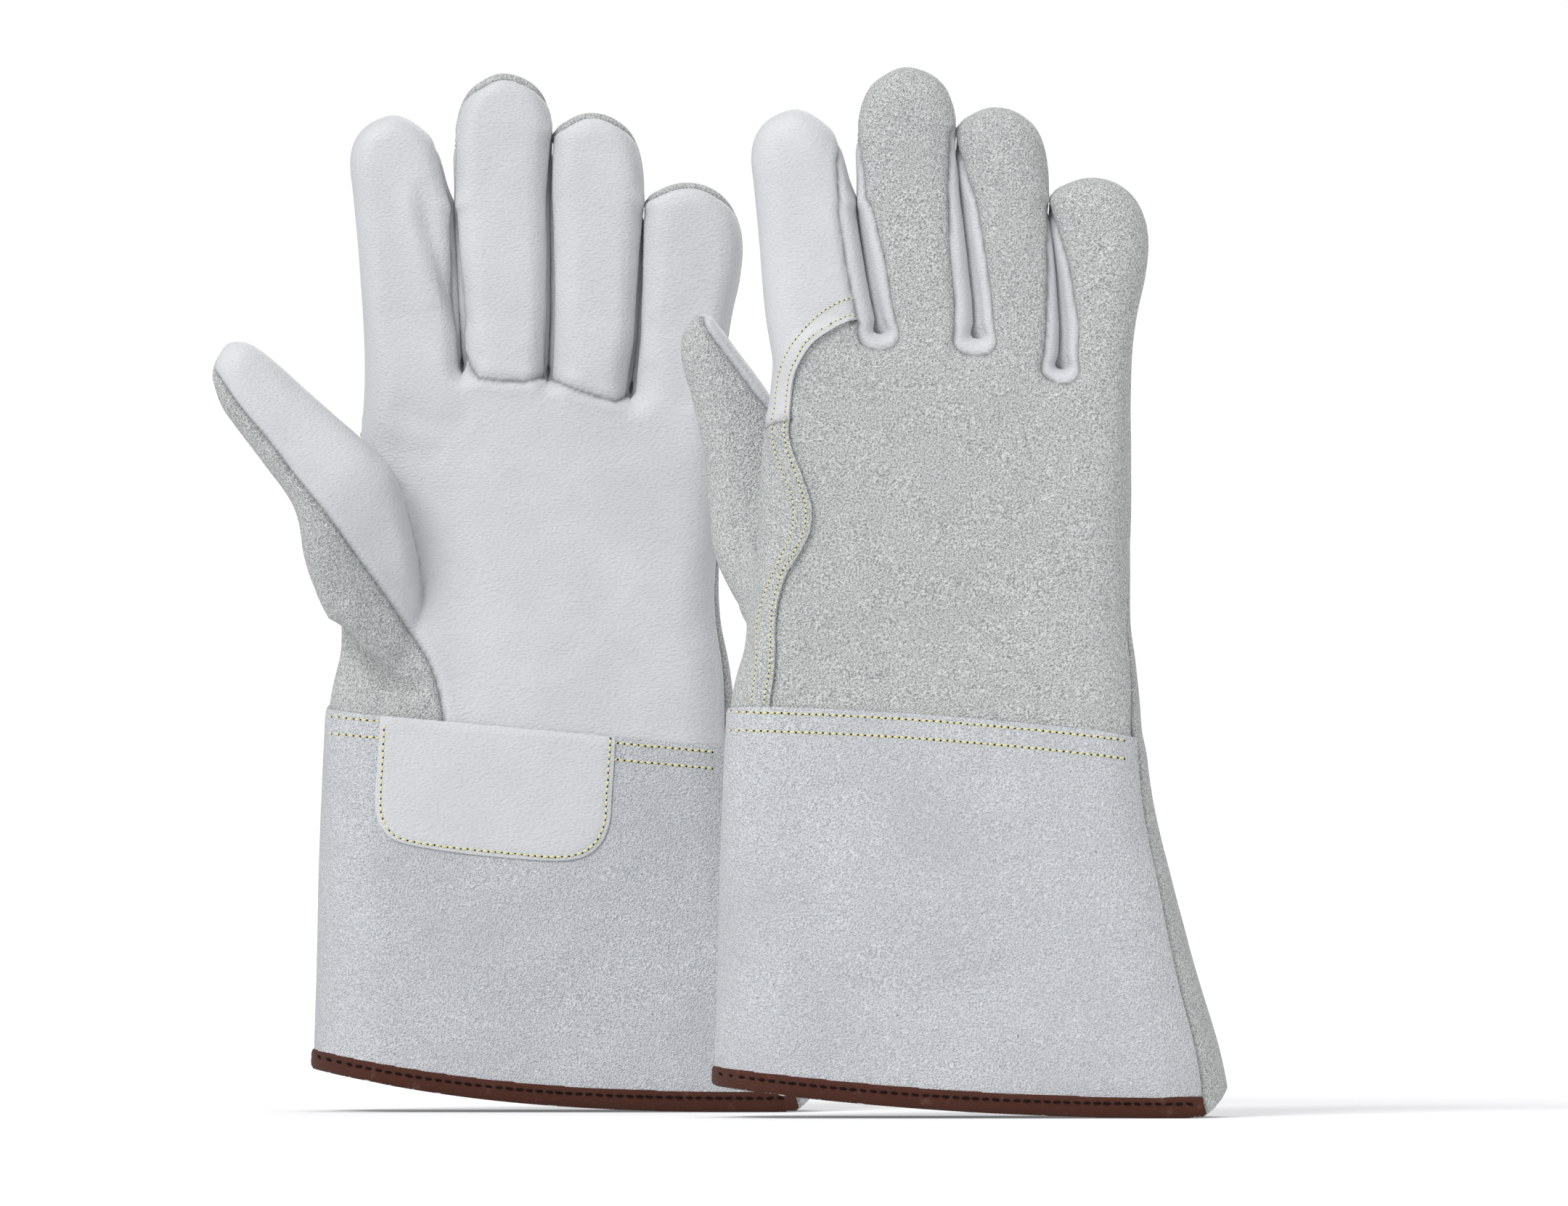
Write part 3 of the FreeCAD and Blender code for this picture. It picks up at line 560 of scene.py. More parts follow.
def label_faces(get):
    """The panel each face belongs to, from the mean measures of its corners."""
    code = {name: i for i, name in enumerate(LABELS)}
    x, z = get("x"), get("z")
    front, back, above_lap = get("front"), get("back"), get("lap") > 0
    finger = finger_of(x, z)
    hand = z < HAND_TOP
    outer_left = np.where(hand, x < 0, (finger == 0) & (x <= FINGER_CENTRES[0]))
    outer_right = np.where(hand, x >= 0, (finger == 3) & (x > FINGER_CENTRES[3]))
    above_root = z > np.array(FINGER_BENDS)[finger] - 2.5

    label = np.full(x.shape, code["palm"])
    label[back < 0] = code["back"]
    lapped = (get("pp") < 0) & above_lap
    left_palm = outer_left & ~lapped
    label[outer_left & lapped] = code["back"]
    label[left_palm & (get("thumb_edge") > 0)] = code["palm"]
    label[left_palm & (get("thumb_edge") <= 0)] = code["thumb_gusset"]
    wrapped = (finger == 0) & ~hand
    label[wrapped] = np.where(lapped, code["back"], code["palm"])[wrapped]
    label[(finger == 0) & above_root & ~(lapped & (get("pz") < BACK_TOP))] = code["index_wrap"]
    for k, name in enumerate(FINGERS[1:], 1):
        mine = (finger == k) & above_root
        label[mine & (front > 0)] = code[f"{name}_front"]
        label[mine & (back < 0)] = code[f"{name}_back"]
    for k, name in ((1, "middle"), (2, "ring")):
        below_root = (finger == k) & ~above_root & (z > FRONT_FOOT) & (get("pp") > 0)
        label[below_root & (get("root_seam") > 0) & (front > 0)] = code[f"{name}_front"]

    between = (front <= 0) & (back >= 0)
    strip = between & ~outer_left & ~outer_right & (z > STRIP_FOOT) & ((finger > 0) | (x > -40))
    slit_x = np.array([x_on(line, z) for line in SLIT_LINES])
    nearest = np.abs(x[None] - slit_x).argmin(0)
    for k, (left, right) in enumerate(SLIT_STRIPS):
        mine = strip & (nearest == k)
        label[mine & (x <= slit_x[k])] = code[left]
        label[mine & (x > slit_x[k])] = code[right]
    label[outer_right & between & (z < SIDE_GUSSET_TOP)] = code["side_gusset"]
    thumb = (get("is_thumb") > 0) & (get("along") > THUMB_BLEND[0])
    label[thumb & (get("thumb_edge") > 0)] = code["thumb_front"]
    label[thumb & (get("thumb_edge") <= 0)] = code["thumb_back"]
    return label


def seam_edges(tris, sheet):
    """Edges where two sheets meet, as vertex pairs, and the sheet on each side."""
    edges = np.sort(np.vstack([tris[:, [0, 1]], tris[:, [1, 2]], tris[:, [2, 0]]]), axis=1)
    owner = np.tile(sheet, 3)
    order = np.lexsort((edges[:, 1], edges[:, 0]))
    edges, owner = edges[order], owner[order]
    same = (edges[1:] == edges[:-1]).all(1)
    first, second = owner[:-1][same], owner[1:][same]
    differ = first != second
    return edges[:-1][same][differ], first[differ], second[differ]


# ---- building meshes -------------------------


def to_row(points, glove):
    """From the glove's own frame in millimetres to the pair's frame in metres."""
    x0, y0 = glove["origin"]
    x, p, z = points.T
    return np.c_[x0 + x, y0 + glove["palm_y"] * p, z] / 1000.0


def make_object(name, points, faces, normals, glove, material, painted_shade=None):
    """A mesh object in the pair's frame, from points and groups of faces in the glove's own frame.

    normals holds one normal per face corner for each group, or is None. The left glove's own frame is
    mirrored in the pair's frame, so its faces are turned round.
    """
    if glove["palm_y"] < 0:
        faces = [group[:, ::-1] for group in faces]
        normals = normals and [group[:, ::-1] for group in normals]
    corners = np.concatenate([group.reshape(-1) for group in faces]).astype(np.int32)
    sizes = np.concatenate([np.full(len(group), group.shape[1]) for group in faces]).astype(np.int32)
    mesh = bpy.data.meshes.new(name)
    mesh.vertices.add(len(points))
    mesh.vertices.foreach_set("co", to_row(points, glove).astype(np.float32).ravel())
    mesh.loops.add(len(corners))
    mesh.loops.foreach_set("vertex_index", corners)
    mesh.polygons.add(len(sizes))
    mesh.polygons.foreach_set("loop_start", np.concatenate([[0], np.cumsum(sizes)[:-1]]).astype(np.int32))
    mesh.polygons.foreach_set("loop_total", sizes)
    mesh.polygons.foreach_set("use_smooth", np.ones(len(sizes), bool))
    mesh.update(calc_edges=True)
    if normals:
        flat = np.concatenate([group.reshape(-1, 3) for group in normals]) * np.array([1, glove["palm_y"], 1])
        mesh.normals_split_custom_set(flat.astype(np.float32).tolist())
    # painted_shade is kept as an attribute, for the materials to paint shade with
    if painted_shade is not None:
        mesh.attributes.new("painted_shade", "FLOAT", "POINT").data.foreach_set("value", painted_shade.astype(np.float32))
    mesh.materials.append(material)
    obj = bpy.data.objects.new(name, mesh)
    bpy.context.scene.collection.objects.link(obj)
    return obj


def shell(name, points, outward, shade, tris, low, high, glove, material, painted_shade=None):
    """A closed sheet: an outer face at `high` above the form, an inner face at `low`, and a rim between them.

    shade is the outer face's normal at each vertex. painted_shade is how much painted shade darkens the
    leather there.
    """
    used, local = np.unique(tris, return_inverse=True)
    tris = local.reshape(-1, 3)
    low, high = (np.broadcast_to(v, (len(points),))[used][:, None] for v in (low, high))
    base, direction, shade = points[used], outward[used], shade[used]
    outer, inner = base + direction * high, base + direction * low
    n = len(used)
    edges = np.vstack([tris[:, [0, 1]], tris[:, [1, 2]], tris[:, [2, 0]]])
    key = np.sort(edges, axis=1)
    _, first, count = np.unique(key, axis=0, return_index=True, return_counts=True)
    rim = edges[first[count == 1]]
    both = np.vstack([outer, inner])
    sides = np.c_[rim[:, 0], rim[:, 0] + n, rim[:, 1] + n, rim[:, 1]]
    a, b, c = both[sides[:, 0]], both[sides[:, 1]], both[sides[:, 2]]
    flat = np.cross(b - a, c - a)
    flat /= np.linalg.norm(flat, axis=1, keepdims=True) + 1e-12
    faces = [tris, tris[:, ::-1] + n, sides]
    normals = [shade[tris], -shade[tris[:, ::-1]], np.repeat(flat[:, None], 4, axis=1)]
    painted_shade = None if painted_shade is None else np.tile(painted_shade[used], 2)
    return make_object(name, both, faces, normals, glove, material, painted_shade)


# ---- materials -------------------------------


class Nodes:
    """Short names for building a material's node tree."""

    def __init__(self, name):
        self.material = bpy.data.materials.new(name)
        self.material.use_nodes = True
        self.tree = self.material.node_tree
        self.shader = self.tree.nodes["Principled BSDF"]
        self.place = self.add("ShaderNodeTexCoord").outputs["Object"]

    def add(self, kind, inputs=None, **settings):
        node = self.tree.nodes.new(kind)
        for key, value in settings.items():
            setattr(node, key, value)
        for key, value in (inputs or {}).items():
            self.put(node.inputs[key], value)
        return node

    def put(self, socket, value):
        if isinstance(value, bpy.types.NodeSocket):
            self.tree.links.new(value, socket)
        else:
            socket.default_value = value

    def noise(self, size, detail=3.0, rough=0.55, stretch=(1, 1, 1)):
        """Noise that changes over about `size` millimetres, from 0 to 1."""
        place = self.add("ShaderNodeMapping", {"Vector": self.place, "Scale": stretch}).outputs[0]
        inputs = {"Vector": place, "Scale": 1000.0 / size, "Detail": detail, "Roughness": rough}
        return self.add("ShaderNodeTexNoise", inputs).outputs["Fac"]

    def cells(self, size):
        """Distance from the nearest of points scattered about `size` millimetres apart."""
        inputs = {"Vector": self.place, "Scale": 1000.0 / size}
        return self.add("ShaderNodeTexVoronoi", inputs).outputs["Distance"]

    def ramp(self, value, low, high, to_low=0.0, to_high=1.0):
        """Turns values from low to high into values from to_low to to_high, and stops at both ends."""
        inputs = {"Value": value, "From Min": low, "From Max": high, "To Min": to_low, "To Max": to_high}
        return self.add("ShaderNodeMapRange", inputs).outputs["Result"]

    def math(self, operation, a, b=0.0):
        node = self.add("ShaderNodeMath", operation=operation)
        self.put(node.inputs[0], a)
        self.put(node.inputs[1], b)
        return node.outputs[0]

    def mix(self, factor, a, b):
        node = self.add("ShaderNodeMix", data_type="RGBA")
        self.put(node.inputs["Factor"], factor)
        self.put(node.inputs["A"], (*a, 1) if isinstance(a, tuple) else a)
        self.put(node.inputs["B"], (*b, 1) if isinstance(b, tuple) else b)
        return node.outputs["Result"]

    def bump(self, height, depth, strength=1.0, normal=None):
        """A normal that shows height, from 0 to 1, as relief of so many millimetres."""
        inputs = {"Height": height, "Distance": depth / 1000.0, "Strength": strength}
        if normal is not None:
            inputs["Normal"] = normal
        return self.add("ShaderNodeBump", inputs).outputs["Normal"]

    def finish(self, color, rough, normal=None, **more):
        """Sets the shader's inputs and returns the material; names in more have _ for spaces."""
        self.put(self.shader.inputs["Base Color"], (*color, 1) if isinstance(color, tuple) else color)
        self.put(self.shader.inputs["Roughness"], rough)
        if normal is not None:
            self.put(self.shader.inputs["Normal"], normal)
        for key, value in more.items():
            self.put(self.shader.inputs[key.replace("_", " ")], value)
        return self.material


def seam_shade(n, color):
    """Paints shade into a colour where the painted_shade attribute says: in the leather's sunken seams, along
    the cuff's edge over the gusset and in the fold under the thumb.
    """
    seam = n.add("ShaderNodeAttribute", attribute_name="painted_shade").outputs["Fac"]
    return n.mix(n.math("MULTIPLY", seam, 0.8), color, (0.05, 0.055, 0.06))


def grain_leather():
    n = Nodes("grain_leather")
    tone = n.ramp(n.noise(34, 3), 0.35, 0.65)
    color = n.mix(tone, (0.532, 0.542, 0.562), (0.574, 0.584, 0.602))
    creases = n.noise(0.74, 2, 0.5, (0.60, 1, 1.1))
    # painted shade: the lowest parts of the crease noise, which the bump makes into the creases' valleys, are
    # coloured darker
    color = n.mix(n.ramp(creases, 0.32, 0.50, 0.16, 0.0), color, (0.40, 0.415, 0.435))
    normal = n.bump(creases, 0.40)
    return n.finish(seam_shade(n, color), n.ramp(tone, 0, 1, 0.46, 0.54), normal, Specular_IOR_Level=0.35)


def rough_leather(name, nap_size, nap_depth, drift_size, drift_share, dark, light, drift_color):
    """Leather with its napped side out, whose colour drifts over the panel: its nodes, colour and normal."""
    n = Nodes(name)
    nap = n.noise(nap_size, 1, 0.5)
    drift = n.ramp(n.noise(drift_size, 2), 0.3, 0.7, 0.0, drift_share)
    color = n.mix(drift, n.mix(n.ramp(nap, 0.24, 0.76), dark, light), drift_color)
    return n, color, n.bump(nap, nap_depth)


def split_leather():
    n, color, normal = rough_leather(
        "split_leather", nap_size=0.58, nap_depth=1.15, drift_size=38, drift_share=0.22,
        dark=(0.210, 0.224, 0.222), light=(0.780, 0.795, 0.786), drift_color=(0.400, 0.420, 0.420),
    )
    return n.finish(seam_shade(n, color), 0.93, normal, Sheen_Weight=0.12, Sheen_Roughness=0.6,
                    Specular_IOR_Level=0.15)


def cuff_leather():
    n, color, normal = rough_leather(
        "cuff_leather", nap_size=0.56, nap_depth=0.85, drift_size=45, drift_share=0.5,
        dark=(0.325, 0.340, 0.362), light=(0.757, 0.769, 0.793), drift_color=(0.430, 0.442, 0.465),
    )
    specks = n.ramp(n.cells(9.0), 0.028, 0.05)
    color = n.mix(specks, (0.22, 0.23, 0.23), color)
    return n.finish(seam_shade(n, color), 0.92, normal, Sheen_Weight=0.1, Specular_IOR_Level=0.15)


def binding_tape():
    n = Nodes("binding")
    place = n.add("ShaderNodeSeparateXYZ", {"Vector": n.place})
    ribs_along = n.math("MULTIPLY", place.outputs["X"], 900.0)
    ribs_up = n.math("MULTIPLY", place.outputs["Z"], 1500.0)
    turns = n.math("ADD", n.math("ADD", ribs_along, ribs_up), n.math("MULTIPLY", n.noise(3.0, 2), 1.4))
    twill = n.ramp(n.math("SINE", n.math("MULTIPLY", turns, 6.283)), -1, 1)
    fuzz = n.noise(0.55, 3, 0.7)
    color = n.mix(n.math("MULTIPLY", twill, fuzz), (0.040, 0.013, 0.008), (0.155, 0.050, 0.029))
    color = n.mix(n.ramp(n.noise(6, 3), 0.62, 0.75, 0.0, 0.3), color, (0.19, 0.115, 0.085))
    normal = n.bump(twill, 0.22, 0.6)
    normal = n.bump(fuzz, 0.25, 0.6, normal)
    return n.finish(color, 0.85, normal, Sheen_Weight=0.04, Specular_IOR_Level=0.2)


def thread(name, dark, light, shine=0.3):
    n = Nodes(name)
    fibre = n.noise(0.35, 2, 0.6, (1, 1, 2.5))
    color = n.mix(n.ramp(fibre, 0.3, 0.7), dark, light)
    return n.finish(color, 0.8, n.bump(fibre, 0.1, 0.6), Specular_IOR_Level=shine)


# painted shade: a near-black matte colour for the shadow inside a needle hole
def needle_hole_shade():
    n = Nodes("needle_hole_shade")
    return n.finish((0.012, 0.012, 0.008), 0.95, Specular_IOR_Level=0.05)


MATERIALS = {
    "grain_leather": grain_leather(),
    "split_leather": split_leather(),
    "cuff_leather": cuff_leather(),
    "binding": binding_tape(),
    "yellow_thread": thread("yellow_thread", (0.50, 0.49, 0.20), (0.86, 0.84, 0.46)),
    "dark_thread": thread("dark_thread", (0.006, 0.004, 0.004), (0.018, 0.011, 0.010), 0.05),
    "needle_hole_shade": needle_hole_shade(),
}


# ---- stitching -------------------------------


def bead(length, width, height, sides, rings):
    """A rounded bead along its first axis, lying on the plane of the first two, as points and triangles."""
    u = np.linspace(-1, 1, rings + 1)
    girth = np.sqrt(np.clip(1 - np.abs(u) ** 3, 0, 1)) * 0.85 + 0.15
    angle = np.arange(sides) * 2 * math.pi / sides
    points = [[(s * length / 2, g * width / 2 * math.cos(a), g * height / 2 * math.sin(a)) for a in angle]
              for s, g in zip(u, girth)]
    quads = np.array([(r * sides + k, r * sides + (k + 1) % sides, (r + 1) * sides + (k + 1) % sides,
                       (r + 1) * sides + k) for r in range(rings) for k in range(sides)])
    fan = np.array([(0, k, k + 1) for k in range(1, sides - 1)])
    tris = [quads[:, [0, 3, 2]], quads[:, [0, 2, 1]], fan, fan[:, ::-1] + rings * sides]
    return np.array(points).reshape(-1, 3), np.vstack(tris)


def stitch_row(surface, line, side, above, pitch, keep=None):
    """Places along a line on the palm (+1) or back (-1) of a surface: spot, direction along and outward."""
    line = np.array(line, float)
    steps = np.r_[0, np.cumsum(np.linalg.norm(np.diff(line, axis=0), axis=1))]
    wobble = np.random.default_rng(7)
    places, at = [], pitch / 2
    while at < steps[-1]:
        x, z = (np.interp(at, steps, line[:, i]) for i in (0, 1))
        ahead = [np.interp(at + 0.4, steps, line[:, i]) - v for i, v in ((0, x), (1, z))]
        hit, normal, _, _ = surface.ray_cast(Vector((x, side * 90.0, z)), Vector((0, -side, 0)))
        at += pitch * (1 + wobble.uniform(-0.05, 0.05))
        if hit is None or (keep and not keep(x, z)):
            continue
        normal = np.array(normal)
        if normal[1] * side < 0:
            normal = -normal
        along = np.array([ahead[0], 0.0, ahead[1]])
        along -= normal * along.dot(normal)
        along /= np.linalg.norm(along) + 1e-9
        places.append((np.array(hit) + normal * above, along, normal))
    return places


def lay_beads(name, places, size, glove, material, rings=4, lift=0.0, shift=0.0):
    """One object of beads, one at each place. lift moves them outward, shift moves them along the row."""
    shape, tris = bead(*size, BEAD_SIDES, rings)
    points, faces = [], []
    wobble = np.random.default_rng(11)
    for k, (spot, u, normal) in enumerate(places):
        v = np.cross(normal, u)
        turn = wobble.uniform(-0.10, 0.10)
        across = v * math.cos(turn) + u * math.sin(turn)
        along = u * math.cos(turn) - v * math.sin(turn)
        local = shape * wobble.uniform(0.9, 1.08)
        points.append(spot + along * shift + local[:, :1] * along + local[:, 1:2] * across
                      + (local[:, 2:] + lift) * normal)
        faces.append(tris + k * len(shape))
    return make_object(name, np.vstack(points), [np.vstack(faces)], None, glove, MATERIALS[material])


# ---- one glove -------------------------------


def glove_origin(hand):
    """Where a glove's own zero lies in the pair's frame, in millimetres, from its CAD nodes' boxes."""
    tape_low, tape_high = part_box(f"{hand}_hem_binding")
    _, gusset_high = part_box(f"{hand}_cuff_side_gusset")
    return gusset_high.x * 1000 - GUSSET_REACH, (tape_low.y + tape_high.y) * 500


def bind(obj, hand, body, nodes=()):
    """Parents a cuff piece to its cuff body and bakes any other piece's transform; hides the CAD nodes it
    stands for.
    """
    glove = GLOVES[hand]

    def at(x, p, z):
        return to_row(np.array([[x, p, z]]), glove)[0].tolist()

    if body == "cuff":
        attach(obj, f"{hand}_cuff")
    elif body in ("hand", "gusset"):
        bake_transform(obj)
    elif body == "thumb":
        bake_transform(obj)
    else:
        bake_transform(obj)
    if nodes:
        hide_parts(*(f"{hand}_{node}" for node in nodes))


class Skin:
    """A glove's outer form, cut along all its seams, with measures at its vertices and faces' middles."""

    def __init__(self, hand):
        self.hand, self.glove = hand, GLOVES[hand]
        self.glove["origin"] = glove_origin(hand)
        points, tris, where = form(self.glove)
        points = take_in(lean_slits(points, where), self.glove)
        outward = vertex_normals(points, tris)
        wave = 0.42 * noise(points, 26, 1) + 0.16 * noise(points, 9, 2) + 0.25 * noise(points, 55, 3)
        calm = 0.35 + 0.65 * smooth(np.abs(where["q"]), 0.2, 0.8)
        points = points + outward * (wave * calm + folds(points, where))[:, None]
        where["facing"] = outward[:, 1]
        fields = measures(points, where, self.glove)
        # px, pp and pz are where a vertex ends up, nx, np and nz its outward direction; x, p and z are where
        # it was before the slits leaned and the folds were added
        names = ["px", "pp", "pz", "nx", "np", "nz", *where, *fields]
        self.columns = {name: i for i, name in enumerate(names)}
        table = np.array([*points.T, *outward.T, *where.values(), *fields.values()]).T
        for name in CUT_FIELDS:
            table, tris = cut(table, tris, self.columns[name])
        self.table, self.tris = table, tris
        self.middle = table[tris].mean(1)
        self.points = table[:, :3]
        self.outward = table[:, 3:6] / (np.linalg.norm(table[:, 3:6], axis=1, keepdims=True) + 1e-12)
        self.label = label_faces(self.face)
        self.sheet = SHEET_OF[self.label]

    def vertex(self, name):
        """A measure at each vertex."""
        return self.table[:, self.columns[name]]

    def face(self, name):
        """A measure at the middle of each face."""
        return self.middle[:, self.columns[name]]

    def moved_out(self, high):
        """The vertices at `high` above the form."""
        return self.points + self.outward * np.broadcast_to(high, len(self.points))[:, None]

    def shade(self, high, chosen):
        """Normals of the surface at `high` above the form over the chosen faces."""
        return vertex_normals(self.moved_out(high), self.tris[chosen])

    def top(self, high, chosen):
        """The surface at `high` above the form over the chosen faces, to lay stitches on."""
        used, local = np.unique(self.tris[chosen], return_inverse=True)
        return BVHTree.FromPolygons(self.moved_out(high)[used].tolist(), local.reshape(-1, 3).tolist())

    def piece(self, name, chosen, low, high, material, body, nodes, shade=None, painted_shade=None):
        """A sheet of leather or tape over the chosen faces, passed to bind with its body."""
        shade = self.shade(high, chosen) if shade is None else shade
        obj = shell(f"{self.hand}_{name}", self.points, self.outward, shade, self.tris[chosen], low, high,
                    self.glove, MATERIALS[material], painted_shade)
        bind(obj, self.hand, body, nodes)


def seam_gap(skin):
    """Each vertex's distance from the nearest seam that sinks in: where two sheets meet without a lap."""
    pairs, first, second = seam_edges(skin.tris, skin.sheet)
    spots = skin.points[pairs].mean(1)
    x, p, z = spots.T
    on_lap = (p < 0) & (np.abs(x - x_on(LAP_LINE, z)) < 0.8)
    on_lap &= (first == BACK) & np.isin(second, OVER_BACK) | (second == BACK) & np.isin(first, OVER_BACK)
    sunk = spots[~on_lap & (z > 100)]
    tree = KDTree(len(sunk))
    for i, spot in enumerate(sunk):
        tree.insert(spot, i)
    tree.balance()
    return np.array([tree.find(spot)[2] for spot in skin.points])


def hand_panels(skin):
    """The leather panels of the hand and the side gusset. Returns the height of the palm's outer face."""
    x, p, z = skin.points.T
    seam, along = skin.vertex("seam"), skin.vertex("along")
    gap = seam_gap(skin)
    gusset_edge = np.minimum(np.abs(skin.vertex("front")), np.abs(skin.vertex("back"))) * 0.4
    gusset_edge = np.where(x > 0, gusset_edge, OUT_OF_REACH)
    below = 1 - smooth(seam, -6, 2)

    # the leather dips into its seams, with a low ridge beside them, and into the fold under the thumb
    fold = bell(skin.vertex("valley"), 1.3) * smooth(along, -36, -24) * smooth(-along, -8, 2)
    fold = np.where((p > 8) & (skin.vertex("across") > -4), fold, 0.0)
    flat = -0.95 * bell(gap, 1.05) + 0.28 * bell(gap - 3.2, 1.8) - 0.9 * fold
    # painted shade: the leather is darkened in its sunken seams, along the cuff's edge over the side gusset
    # and in the fold under the thumb, where shade falls
    painted_shade = np.maximum(0.7 * np.maximum(bell(gap, 0.5), bell(gusset_edge, 1.1) * below), 0.42 * fold**2)

    # the palm and thumb sheets rise where they lie over the back's edge
    lapping = np.where((p < 0) & (z > 120), smooth(skin.vertex("lap"), -9.5, -3.5), 0.0)
    lapping = lapping * (LEATHER + 0.55) * smooth(seam, -3, 2.5)
    heights = {
        PALM: flat + lapping,
        THUMB: flat + lapping,
        GUSSET: flat + 1.0 * (1 - smooth(seam, -6, 6)) - 1.1 * bell(gusset_edge, 1.8) * below,
    }
    for sheet in SHEETS:
        high = heights.get(sheet, flat)
        if sheet == GUSSET:
            on_sheet = (skin.sheet == sheet) & (skin.face("hem") > 0)
        else:
            on_sheet = (skin.sheet == sheet) & (skin.face("seam") > -HAND_INSIDE_CUFF)
        if sheet == BACK:
            under_lap = np.isin(skin.sheet, OVER_BACK) & (skin.face("lap") > -6) & (skin.face("px") < -20)
            under_lap &= (skin.face("pp") < 0) & (skin.face("pz") < 262)
            on_sheet |= under_lap & (skin.face("seam") > -HAND_INSIDE_CUFF)
        shade = skin.shade(high, on_sheet)
        leather = "split_leather" if sheet in SPLIT_SHEETS else "grain_leather"
        for i, name in enumerate(LABELS):
            if SHEET_OF[i] != sheet:
                continue
            chosen = on_sheet & ((skin.label == i) | (name == "back") & (skin.sheet != BACK))
            _, body, nodes = PANELS[name]
            skin.piece(f"{name}_leather", chosen, high - LEATHER, high, leather, body, nodes, shade, painted_shade)
    return heights[PALM]


def cuff_pieces(skin):
    """The cuff's two halves, its hem tape and its patch. Returns the surfaces that stitches are laid on."""
    below = skin.face("seam") < 0
    right = skin.face("x") > 0
    palm_half = np.where(right, skin.face("front") > 0, skin.face("pp") > 0)
    back_half = np.where(right, skin.face("back") < 0, skin.face("pp") <= 0)
    seam = skin.vertex("seam")

    # the cuff lies over the hand's lower edge and is sewn to itself along the thumb side
    side_edge = np.where(skin.points[:, 0] > 0, OUT_OF_REACH, np.abs(skin.points[:, 1]))
    tuck = 0.6 * bell(side_edge, 1.4)
    cuff_high = 1.35 - tuck - 0.35 * bell(seam, 1.0)
    zone = below & (skin.face("hem") > 0.4)
    for name, half in (("palm", palm_half), ("back", back_half)):
        skin.piece(f"cuff_{name}_leather", zone & half, 0.04 - tuck, cuff_high, "cuff_leather", "cuff",
                   (f"cuff_{name}_side",))

    # the tape is folded over the lower edge, and pressed in under its stitches
    level = skin.vertex("hem") / TAPE_WIDTH
    pillow = np.sqrt(np.clip(1 - np.abs(2 * np.clip(level, 0, 1) - 1) ** 3.5, 0, 1))
    pillow = pillow * (1 - 0.22 * bell(level - 0.63, 0.08))
    tape_high = 1.15 + 1.05 * pillow
    taped = (skin.face("tape") < 0) & (skin.face("hem") > 0) & (palm_half | back_half)
    skin.piece("hem_tape", taped, -0.25 - 0.9 * pillow, tape_high, "binding", "cuff", ("hem_binding",))

    # the patch is thin at its edge and pressed in along its stitches
    rim = skin.vertex("patch")
    patch_high = 2.45 - 0.5 * bell(rim, 0.8) - 0.30 * bell(rim - 1.6, 0.7) - 0.8 * bell(seam, 1.2)
    patched = (skin.face("patch") > 0) & below & (skin.face("pp") > 0)
    skin.piece("wrist_patch_leather", patched, 1.0, patch_high, "grain_leather", "cuff", ("wrist_patch",))
    return {
        "cuff": skin.top(cuff_high, zone & (palm_half | back_half)),
        "tape": skin.top(tape_high, taped),
        "patch": skin.top(patch_high, patched),
    }


def beside_patch(x, z):
    """Whether a place on the palm side of the cuff is left or right of the patch."""
    return not (-52.3 < x < 24.5)


def cuff_places(top):
    """Two rows of stitches on each side of the cuff, below the wrist seam."""
    places = []
    for side, start, end, keep, depths in ((-1, -71.5, 61.0, None, (2.0, 8.1)),
                                           (1, -71.0, 58.5, beside_patch, (2.0, 7.6))):
        x = np.linspace(start, end, 60)
        for depth in depths:
            row = np.c_[x, seam_height(x, side) - depth]
            places += stitch_row(top, row, side, 0.0, CUFF_PITCH, keep)
    return places


def patch_places(top):
    """A row of stitches inside the patch's edge, up to the wrist seam."""
    line = spline(PATCH)
    inward = np.array([-14.0, 112.0]) - line
    row = line + inward / np.linalg.norm(inward, axis=1, keepdims=True) * 1.7
    row = [spot for spot in row if spot[1] < (132.0 if spot[0] < 0 else 131.5)]
    return stitch_row(top, row, 1, 0.0, CUFF_PITCH)


def lap_places(top):
    """Two rows of stitches along the curved lap on the back."""
    first = LAP_LINE - np.array([2.0, 0.0])
    first = first[first[:, 1] > 136]
    first[first[:, 1] > 250] += np.array([0.8, 1.4])
    places = []
    for line in (first[first[:, 0] < -28.5], SECOND_LINE):
        places += stitch_row(top, line, -1, 0.0, LAP_PITCH)
    return places


def hem_places(top, glove):
    """A row of stitches along the tape on each side."""
    places = []
    for side in (-1, 1):
        x = np.linspace(-75, 84.5, 80)
        places += stitch_row(top, np.c_[x, hem_height(x, glove) + 4.3], side, 0.1, HEM_PITCH)
    return places


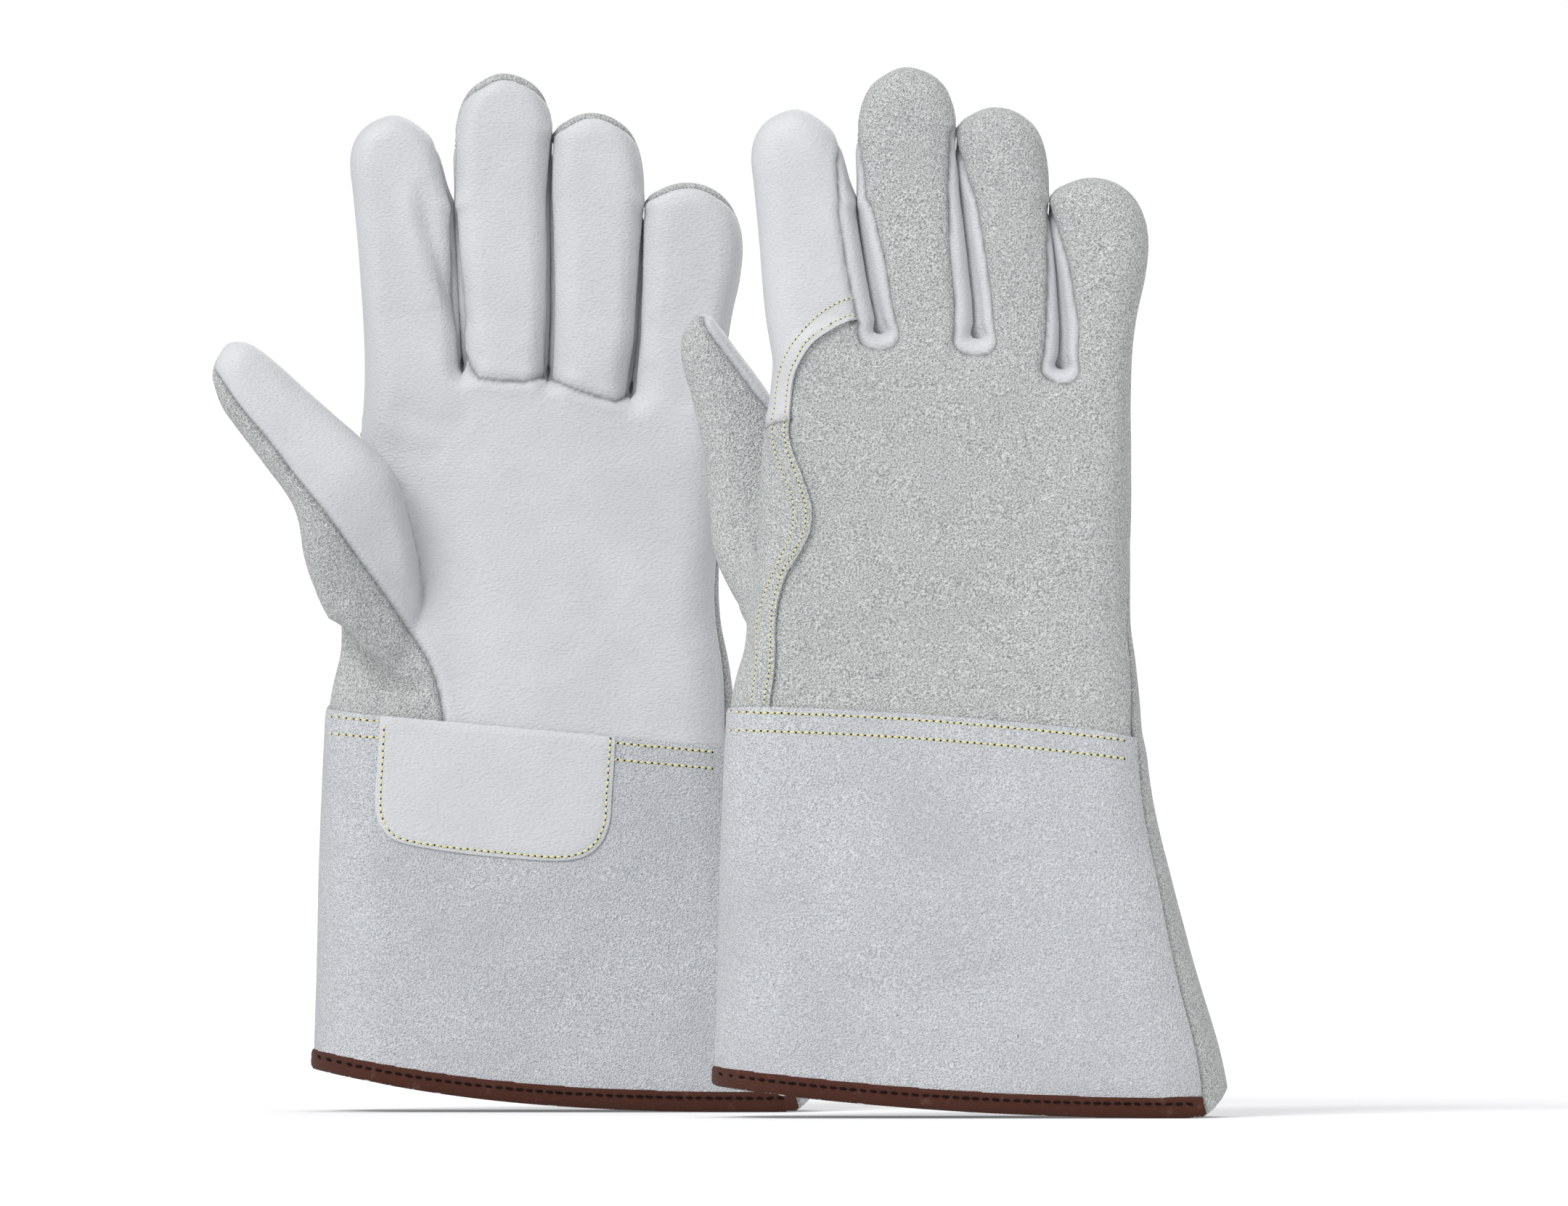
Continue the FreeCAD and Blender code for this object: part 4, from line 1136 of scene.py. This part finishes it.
def build_glove(hand):
    """All the pieces of one glove, the left or the right."""
    skin = Skin(hand)
    glove = skin.glove
    palm_high = hand_panels(skin)
    tops = cuff_pieces(skin)
    lap = lap_places(skin.top(palm_high, np.isin(skin.sheet, OVER_BACK)))
    on_index = [(spot, *axes) for spot, *axes in lap if spot[2] > INDEX_LAP_FOOT]
    on_hand = [(spot, *axes) for spot, *axes in lap if spot[2] <= INDEX_LAP_FOOT]
    coarse, fine = (1.0, 1.15), (0.72, 0.874)  # size of the stitches, step from a stitch to its needle hole
    for name, places, body, nodes, (scale, step) in (
        ("cuff_stitches", cuff_places(tops["cuff"]), "cuff", ("cuff_thread",), coarse),
        ("patch_stitches", patch_places(tops["patch"]), "cuff", ("patch_thread",), coarse),
        ("lap_stitches", on_hand, "hand", ("back_seam_thread",), fine),
        ("index_lap_stitches", on_index, "index", (), fine),
    ):
        size = (1.55 * scale, 0.85 * scale, 0.75 * scale)
        dashes = lay_beads(f"{hand}_{name}", places, size, glove, "yellow_thread", lift=0.02)
        bind(dashes, hand, body, nodes)
        size = (0.8 * scale, 0.78 * scale, 0.36)
        # near-black beads a step along from each stitch: painted shade for the shadow in its needle hole
        hole_shades = lay_beads(f"{hand}_{name}_holes", places, size, glove, "needle_hole_shade", rings=2, shift=step)
        bind(hole_shades, hand, body)
    places = hem_places(tops["tape"], glove)
    dashes = lay_beads(f"{hand}_hem_stitches", places, (2.7, 1.0, 0.8), glove, "dark_thread")
    bind(dashes, hand, "cuff", ("hem_thread",))


for hand in GLOVES:
    build_glove(hand)


# ---- stage -----------------------------------


def sun_light(name, direction, spread, strength):
    """A soft light from a direction; spread is in degrees."""
    light = bpy.data.lights.new(name, "SUN")
    light.angle, light.energy = math.radians(spread), strength
    obj = bpy.data.objects.new(name, light)
    bpy.context.scene.collection.objects.link(obj)
    obj.rotation_euler = (-Vector(direction)).to_track_quat("-Z", "Y").to_euler()


backdrop = Nodes("backdrop").finish((0.74, 0.74, 0.75), 0.9, Specular_IOR_Level=0.0, Emission_Strength=0.14,
                                    Emission_Color=(1, 1, 1, 1))
bpy.ops.mesh.primitive_plane_add(size=60.0, location=(0, 0, -0.0005))
floor = bpy.context.object
floor.name = "floor"
floor.data.materials.append(backdrop)
sun_light("key", (-0.60, -0.75, 0.80), 28, 2.1)
sun_light("fill", (0.80, -0.60, 0.35), 60, 0.4)
sun_light("top", (0.0, -0.1, 1.0), 50, 0.7)
sun_light("back", (0.35, 0.85, 0.45), 45, 0.9)

# the world is white to the camera and dimmer as a light
world = bpy.data.worlds.new("world")
bpy.context.scene.world = world
world.use_nodes = True
tree = world.node_tree
seen = tree.nodes.new("ShaderNodeLightPath").outputs["Is Camera Ray"]
strength = tree.nodes.new("ShaderNodeMapRange")
strength.inputs["To Min"].default_value, strength.inputs["To Max"].default_value = 0.45, 1.0
tree.links.new(seen, strength.inputs["Value"])
tree.links.new(strength.outputs["Result"], tree.nodes["Background"].inputs["Strength"])
tree.nodes["Background"].inputs["Color"].default_value = (1, 1, 1, 1)
bpy.context.scene.view_settings.view_transform = "Standard"

camera = bpy.data.objects.new("camera", bpy.data.cameras.new("camera"))
bpy.context.scene.collection.objects.link(camera)
CAMERA_DISTANCE = 10.0
VIEW_WIDTH = 0.526
camera.location = (0.0225, -CAMERA_DISTANCE, 0.171)
camera.rotation_euler = (math.radians(90), 0, 0)
camera.data.sensor_width = 36.0
camera.data.lens = camera.data.sensor_width * CAMERA_DISTANCE / VIEW_WIDTH
camera.data.clip_end = 100.0
bpy.context.scene.camera = camera
